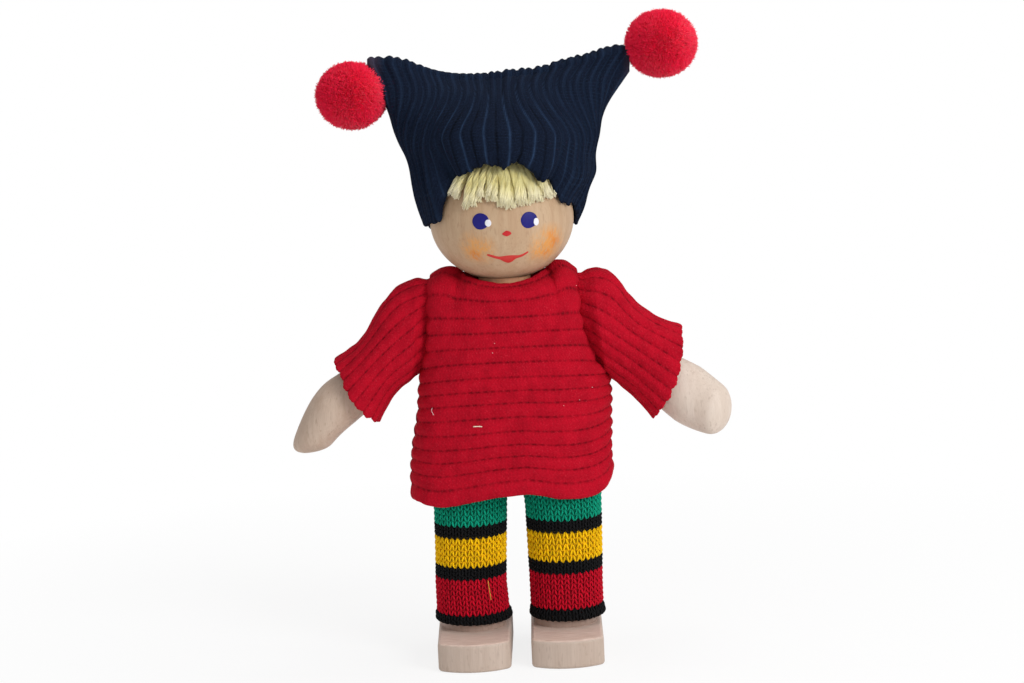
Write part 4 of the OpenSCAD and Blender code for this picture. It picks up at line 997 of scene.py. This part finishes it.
# sleeves
sleeve = {
    "thick": 1.0, "rootD": 6.2, "cuffD": 6.4, "ribs": 18, "ribDeep": 0.24, "stitch": 1.3, "step": 0.19, "round": 46,
    "puffAt": [0, 0.1, 0.2, 0.3, 0.42, 0.56, 0.76, 1],
    "puff": ([0, 1.4, 2.3, 2.6, 2.0, 0.9, -0.3, 0], [0, 1.8, 2.7, 2.4, 0.9, -0.4, -0.7, 0]),
    "under": (1.3, 0.3), "bulge": (0.9, 1.3), "angle": (58, 56.5), "top": ((15.9, 6.85), (14.3, 10)),
    "low": ((15.7, 6.9), (18.2, 6.6)), "ringShare": 0.22, "gap": 0.55, "start": 0.13, "tucked": 2.0, "tuckD": 3.7,
}
sleevePlaces = np.linspace(0, 1, 81)
sleevePuffs = [softened(np.interp(sleevePlaces, sleeve["puffAt"], puff), 30) for puff in sleeve["puff"]]


def sleeveRing(k, share, turn, less):
    # a point of the right (0) or left (1) sleeve, laid out on the left, by its share from root to cuff and its turn
    a = math.radians(sleeve["angle"][k])
    along, above = np.array([math.sin(a), 0, -math.cos(a)]), np.array([math.cos(a), 0, math.sin(a)])
    rootTop = np.array([shoulderW + sleeve["gap"], 0, seamZ - sleeve["gap"] / 2])
    rootLow = np.array([armpitW + sleeve["gap"], 0, armpitZ + sleeve["gap"] / 4])
    cuffTop = shoulder + along * sleeve["top"][k][0] + above * sleeve["top"][k][1]
    cuffLow = shoulder + along * sleeve["low"][k][0] - above * sleeve["low"][k][1]
    s = share[..., None]
    puff = np.interp(s, sleevePlaces, sleevePuffs[k])
    top = lerp(rootTop, cuffTop, s)
    low = lerp(rootLow, cuffLow, s) + above * sleeve["under"][k] * np.sin(pi * np.maximum(0, s))
    middle, half = (top + low) / 2, (top - low) / 2
    middle = middle + along * sleeve["bulge"][k] * (np.cos(turn) ** 2)[..., None] * np.maximum(0, s) ** 3
    inward = np.maximum(0, -s)
    tuck = 1 - eased((s + sleeve["start"]) / 0.24)
    middle = middle - np.array([1, 0, 0]) * inward * sleeve["tucked"] / sleeve["start"] * 0.6
    half = half * (1 - (less + 1.1 * tuck) / np.linalg.norm(half, axis=-1, keepdims=True))
    deep = lerp(lerp(sleeve["rootD"], sleeve["cuffD"], s), sleeve["tuckD"], tuck) - less
    t = turn[..., None]
    puffed = above * puff * np.maximum(0, np.sin(t)) ** 2
    return middle + half * np.sin(t) + puffed + np.array([0, 1, 0]) * deep * np.cos(t)


for k, (side, name) in enumerate(bothSides):
    fine = np.linspace(-sleeve["start"], 1, 200)
    middle = sleeveRing(k, fine, np.full(200, -pi / 2), 0) * 0.5 + sleeveRing(k, fine, np.full(200, pi / 2), 0) * 0.5
    shares, along = evenly(fine, middle, sleeve["step"])
    cols = int(round(sleeve["round"] / sleeve["step"] / 1.05))
    fine = np.linspace(0, 2 * pi, 721)
    turns, around = evenly(fine, sleeveRing(k, np.full(721, 0.5), fine, 0), sleeve["round"] / cols)
    turns, around = turns[:-1], around[:-1] / around[-1]
    s, t = np.meshgrid(shares, turns, indexing="ij")
    outer, inner = sleeveRing(k, s, t, 0), sleeveRing(k, s, t, sleeve["thick"])
    ribs = np.broadcast_to(around * sleeve["ribs"], s.shape) + 0.25
    stitches = np.broadcast_to(along[:, None] / sleeve["stitch"], s.shape) + 0.5 * (np.round(ribs) % 2)
    outer = ribbed(outer, ribs, sleeve["ribDeep"], True, 51 + k, 0.2)
    scallop = 0.22 * np.abs(np.sin(pi * ribs)) ** 0.7 + 0.12 * np.abs(np.sin(3 * pi * ribs))
    scallop = scallop + 0.16 * waves(outer[-1:], 3, 61 + k) - 0.2
    scallop = scallop * eased((along - along[-1] + 2) / 2)[:, None]
    edging = unit(outer[-1:] - outer[-2:-1]) * scallop[..., None]
    grids = [outer + edging, inner + edging, ribs, stitches]
    if side < 0:
        grids = mirrored(grids, 0)
    grids.append(outward(grids[0], True))
    cut = int(np.argmin(np.abs(shares - sleeve["ringShare"])))
    for part, rowPart, full in (("SleeveHead", slice(0, cut + 1), (1, 0)), ("Sleeve", slice(cut, None), (0, 1))):
        piece = knitSheet(name + part, [grid[rowPart] for grid in grids], True, full)
        dress(piece, redKnit, None)
        if part == "SleeveHead":
            name + "_shoulder"
            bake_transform(piece)
        else:
            name + "_shoulder"
            name + "_arm"
            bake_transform(piece)
            name + "_arm"
        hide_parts(name + "_sleeve")
print("the sleeves are made")


# stockings
stocking = {
    "r": 6.0, "low": 6.3, "high": 32.4, "wales": 34, "yarn": 0.19, "hemR": 6.3, "hemH": 1.6, "cols": 136,
    # where each band starts, its rows and its colour
    "bands": [(6.5, 2, (20, 20, 22)), (8.1, 7, (196, 8, 38)), (14.5, 3, (20, 20, 22)), (16.75, 5, (250, 198, 8)),
              (21.9, 3, (20, 20, 22)), (24.1, 8, (6, 154, 122)), (32.1, 0, (6, 154, 122))],
    "shift": {"right": 0.0, "left": 0.4},  # how much higher the bands above the hem lie
    # how far the tube leans towards the doll's left and how much fuller it is, up the leg
    "at": [6.3, 8, 12.5, 18, 26, 32],
    "lean": {"right": [0.1, -0.05, -0.2, 0, 0.3, 0.45], "left": [0.5, 0.45, 0.45, 0.5, 0.5, 0.3]},
    "fuller": {"right": [0.35, 0.2, 0.05, 0.05, 0.2, 0.35], "left": [0.25, 0.2, 0.22, 0.35, 0.5, 0.8]},
}
stockingR, hemLow, hemHigh = stocking["r"], stocking["low"], stocking["low"] + stocking["hemH"]
bulge = stocking["hemR"] - stockingR
bandTints = np.array([paint(*rgb)[:3] for _, _, rgb in stocking["bands"]])
knitYarn = Finish("stockingYarn", Roughness=0.85, Specular_IOR_Level=0.12, Sheen_Weight=0.03, Sheen_Roughness=0.4)
tint, fuzz = knitYarn.field("tint", "Color"), knitYarn.noise(knitYarn.place(), 7000, 3, 0.7)
dusty = knitYarn.mix(fuzz.between(0.6, 0.85) * 0.06, tint, (230, 225, 215))
knitYarn.use(Base_Color=knitYarn.mix(fuzz.between(0.2, 0.5) * 0.25, dusty, tint),
             Normal=knitYarn.bump(fuzz, 0.4, 0.00006))

for side, name in bothSides:
    rng = np.random.default_rng(60 + side)
    starts = np.array([start + stocking["shift"][name] * (start > 8) for start, _, _ in stocking["bands"]])

    def bandColour(z):
        return bandTints[np.clip(np.searchsorted(starts, z, side="right") - 1, 0, len(starts) - 1)]

    def upLeg(table, z):
        return np.interp(z, stocking["at"], stocking[table][name])

    # the stitches: each a left and a right leg of yarn
    steps = np.linspace(0, 1, 6)
    rowsUp, rowHigh = [], []
    for k, (_, rows, _) in enumerate(stocking["bands"][:-1]):
        rowsUp += list(starts[k] + (starts[k + 1] - starts[k]) * np.arange(rows) / rows)
        rowHigh += [(starts[k + 1] - starts[k]) / rows] * rows
    grids = np.meshgrid(rowsUp, np.arange(stocking["wales"]), (-1, 1), indexing="ij")
    rowSize = np.broadcast_to(np.array(rowHigh)[:, None, None], grids[0].shape).reshape(-1, 1)
    z0, wale, hand = (grid.reshape(-1, 1) for grid in grids)
    slack = rng.normal(size=z0.shape) * 0.05
    angle = (wale + hand * (0.07 + 0.36 * steps ** 0.9) + slack * 0.5) * (2 * pi / stocking["wales"])
    z = z0 + (steps * 1.3 - 0.25) * rowSize + slack * 0.4
    hem = np.sqrt(np.maximum(0, 1 - ((z - hemLow) / stocking["hemH"] * 2 - 1) ** 2)) * bulge
    out = stockingR - 0.12 + 0.26 * np.sin(pi * steps ** 0.8) + hem + upLeg("fuller", z)
    paths = np.stack([side * hipX + upLeg("lean", z) + out * np.cos(angle), out * np.sin(angle), z], -1)
    radii = stocking["yarn"] * (0.55 + 0.45 * np.sin(pi * steps)) * (1 + slack)
    tints = np.broadcast_to(bandColour(z0[:, 0] + 0.01)[:, None], paths.shape)
    tints = tints * rng.uniform(0.82, 1.12, (len(paths), 1, 1))
    # the tube below the stitches, in its band colours darkened by half as painted shade between the stitches, with its
    # rolled hem: r and z up the outside and down the inside
    profile = [(stockingR - 0.35, hemLow + 0.1)]
    profile += [(stockingR - 0.1 + bulge * math.cos(t), hemLow + stocking["hemH"] * (0.5 + 0.5 * math.sin(t)))
                for t in np.linspace(-pi / 2, pi / 2, 9)]
    profile += [(stockingR - 0.12, up) for up in np.arange(hemHigh + 0.3, stocking["high"], 0.4)]
    profile += [(stockingR - 0.25, stocking["high"])]
    profile += [(stockingR - 0.35, up) for up in np.arange(stocking["high"], hemLow + 1, -2)]
    r, z = np.array(profile).T[..., None]
    r = r + upLeg("fuller", z)
    turns = 2 * pi * np.arange(stocking["cols"]) / stocking["cols"]
    ruffle = 1 + 0.015 * np.sin(turns * 17 + 1) * (z < hemHigh)
    tube = np.stack([r * np.cos(turns) * ruffle, r * np.sin(turns) * ruffle, np.broadcast_to(z, ruffle.shape)], -1)
    tube[..., 0] += side * hipX + upLeg("lean", tube[..., 2])
    # painted shade: the band colour at half strength, seen in the gaps between stitches
    dark = np.broadcast_to(bandColour(z) * 0.48, tube.shape).reshape(-1, 3)
    faces = gridFaces(len(z), stocking["cols"], True, True)
    piece = makeMesh(name + "Stocking", tube.reshape(-1, 3), [faces], {"tint": dark})
    stitches = strandPiece(name + "StockingStitches", paths, radii, 6, "tint", tints)
    for part in (piece, stitches):
        dress(part, knitYarn, name + "_leg")
        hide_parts(name + "_stocking")
    name + "_leg"
print("the stockings are made")


# lint: a few stray hairs caught in the knit, each a line of (x, z) seen from the front
lint = {
    "torso": [[(-2.25, 56.6), (-2.1, 56.55)], [(-2.65, 54.93), (-2.5, 54.9)], [(14.3, 47.75), (14.42, 47.68)],
              [(12.36, 65.33), (12.46, 65.28)]],
    "right_leg": [[(-6.48, 42.31), (-5.7, 42.36), (-4.96, 42.3)],
                  [(-13.46, 45.44), (-13.62, 45.1), (-13.59, 44.87), (-13.27, 44.27)]],
    "left_leg": [[(9.18, 45.22), (9.3, 45.17)], [(12.0, 45.84), (12.1, 45.79)]],
}
for body, hairs in lint.items():
    paths = []
    for hair in hairs:
        x, z = (np.interp(np.linspace(0, 1, 9), np.linspace(0, 1, len(hair)), line) for line in zip(*hair))
        nearest = np.argmin((frontKnit[:, 0] - x[:, None]) ** 2 + (frontKnit[:, 2] - z[:, None]) ** 2, 1)
        paths.append(np.stack([x, softened(frontKnit[nearest, 1], 3) - 0.12, z], 1))
    # the hair with three points is a thicker, paler one
    radii = np.array([[0.09 if len(hair) == 3 else 0.06] * 9 for hair in hairs])
    tints = np.array([[paint(*((246, 232, 212) if len(hair) == 3 else (238, 186, 190)))[:3]] * 9 for hair in hairs])
    caught = strandPiece("lint" + body.title().replace("_", ""), np.array(paths), radii, 6, "tint", tints)
    dress(caught, knitYarn, "torso" if body == "torso" else None)
    if body != "torso":
        bendAtHip(caught, body)
thread = np.array([[(-5.24, -6.1, 14.21), (-5.12, -6.2, 13.1), (-4.97, -6.25, 11.9), (-4.87, -6.2, 10.8)]])
golden = np.broadcast_to(paint(214, 160, 70)[:3], thread.shape)
dress(strandPiece("goldenThread", thread, np.full((1, 4), 0.08), 6, "tint", golden), knitYarn, "right_leg")
print("the lint is laid on")


# floor, backdrop and light
def rayKind(finish, kind):
    return finish.node("ShaderNodeLightPath", out=f"Is {kind} Ray")


bpy.ops.mesh.primitive_plane_add(size=80, location=(0, 0, 0))
floor = bpy.context.active_object
floor.name = "floor"
# white where it is seen or mirrored, with the doll's shadow near it
white = Finish("floorWhite", Roughness=0.9, Specular_IOR_Level=0.0)
white.use(Base_Color=(0.97, 0.97, 0.97, 1))
seen = rayKind(white, "Camera").most(rayKind(white, "Glossy")).most(rayKind(white, "Transmission"))
spot = white.node("ShaderNodeTexCoord", out="Object")
far = white.node("ShaderNodeVectorMath", {"operation": "LENGTH"}, {0: spot}, out="Value")
lit, glow = Wire(white, white.shader.outputs[0]), white.node("ShaderNodeEmission", {}, {0: (1, 1, 1, 1), 1: 1})
blended = white.node("ShaderNodeMixShader", {}, {0: seen * (0.82 + 0.18 * far.between(0.06, 0.16)), 1: lit, 2: glow})
white.join(blended, white.tree.nodes["Material Output"].inputs[0])
floor.data.materials.append(white.material)


class Sky(Finish):
    # the world, with nodes made in the same way
    def __init__(self, name):
        scene.world = bpy.data.worlds.new(name)
        scene.world.use_nodes = True
        self.tree = scene.world.node_tree


sky = Sky("studio")
backdrop = sky.tree.nodes["Background"].inputs
seen = rayKind(sky, "Camera").most(rayKind(sky, "Transmission"))
sky.join(sky.node("ShaderNodeMapRange", {}, {"Value": seen, "To Min": 0.45, "To Max": 1.0}), backdrop["Strength"])
sky.join((1, 1, 1, 1), backdrop["Color"])

lamps = {
    "key": {"place": (0.38, -0.38, 0.3), "size": 0.26, "power": 1.7},
    "fill": {"place": (-0.4, -0.34, 0.14), "size": 0.35, "power": 0.14},
    "top": {"place": (0.08, 0.02, 0.5), "size": 0.3, "power": 0.7},
}
lampsFace = Vector((0, 0, 0.06))
for name, lamp in lamps.items():
    light = bpy.data.objects.new(name, bpy.data.lights.new(name, "AREA"))
    light.data.shape, light.data.size, light.data.energy = "DISK", lamp["size"], lamp["power"]
    light.location = lamp["place"]
    light.rotation_euler = (lampsFace - Vector(lamp["place"])).to_track_quat("-Z", "Y").to_euler()
    scene.collection.objects.link(light)
print("the stage is set")
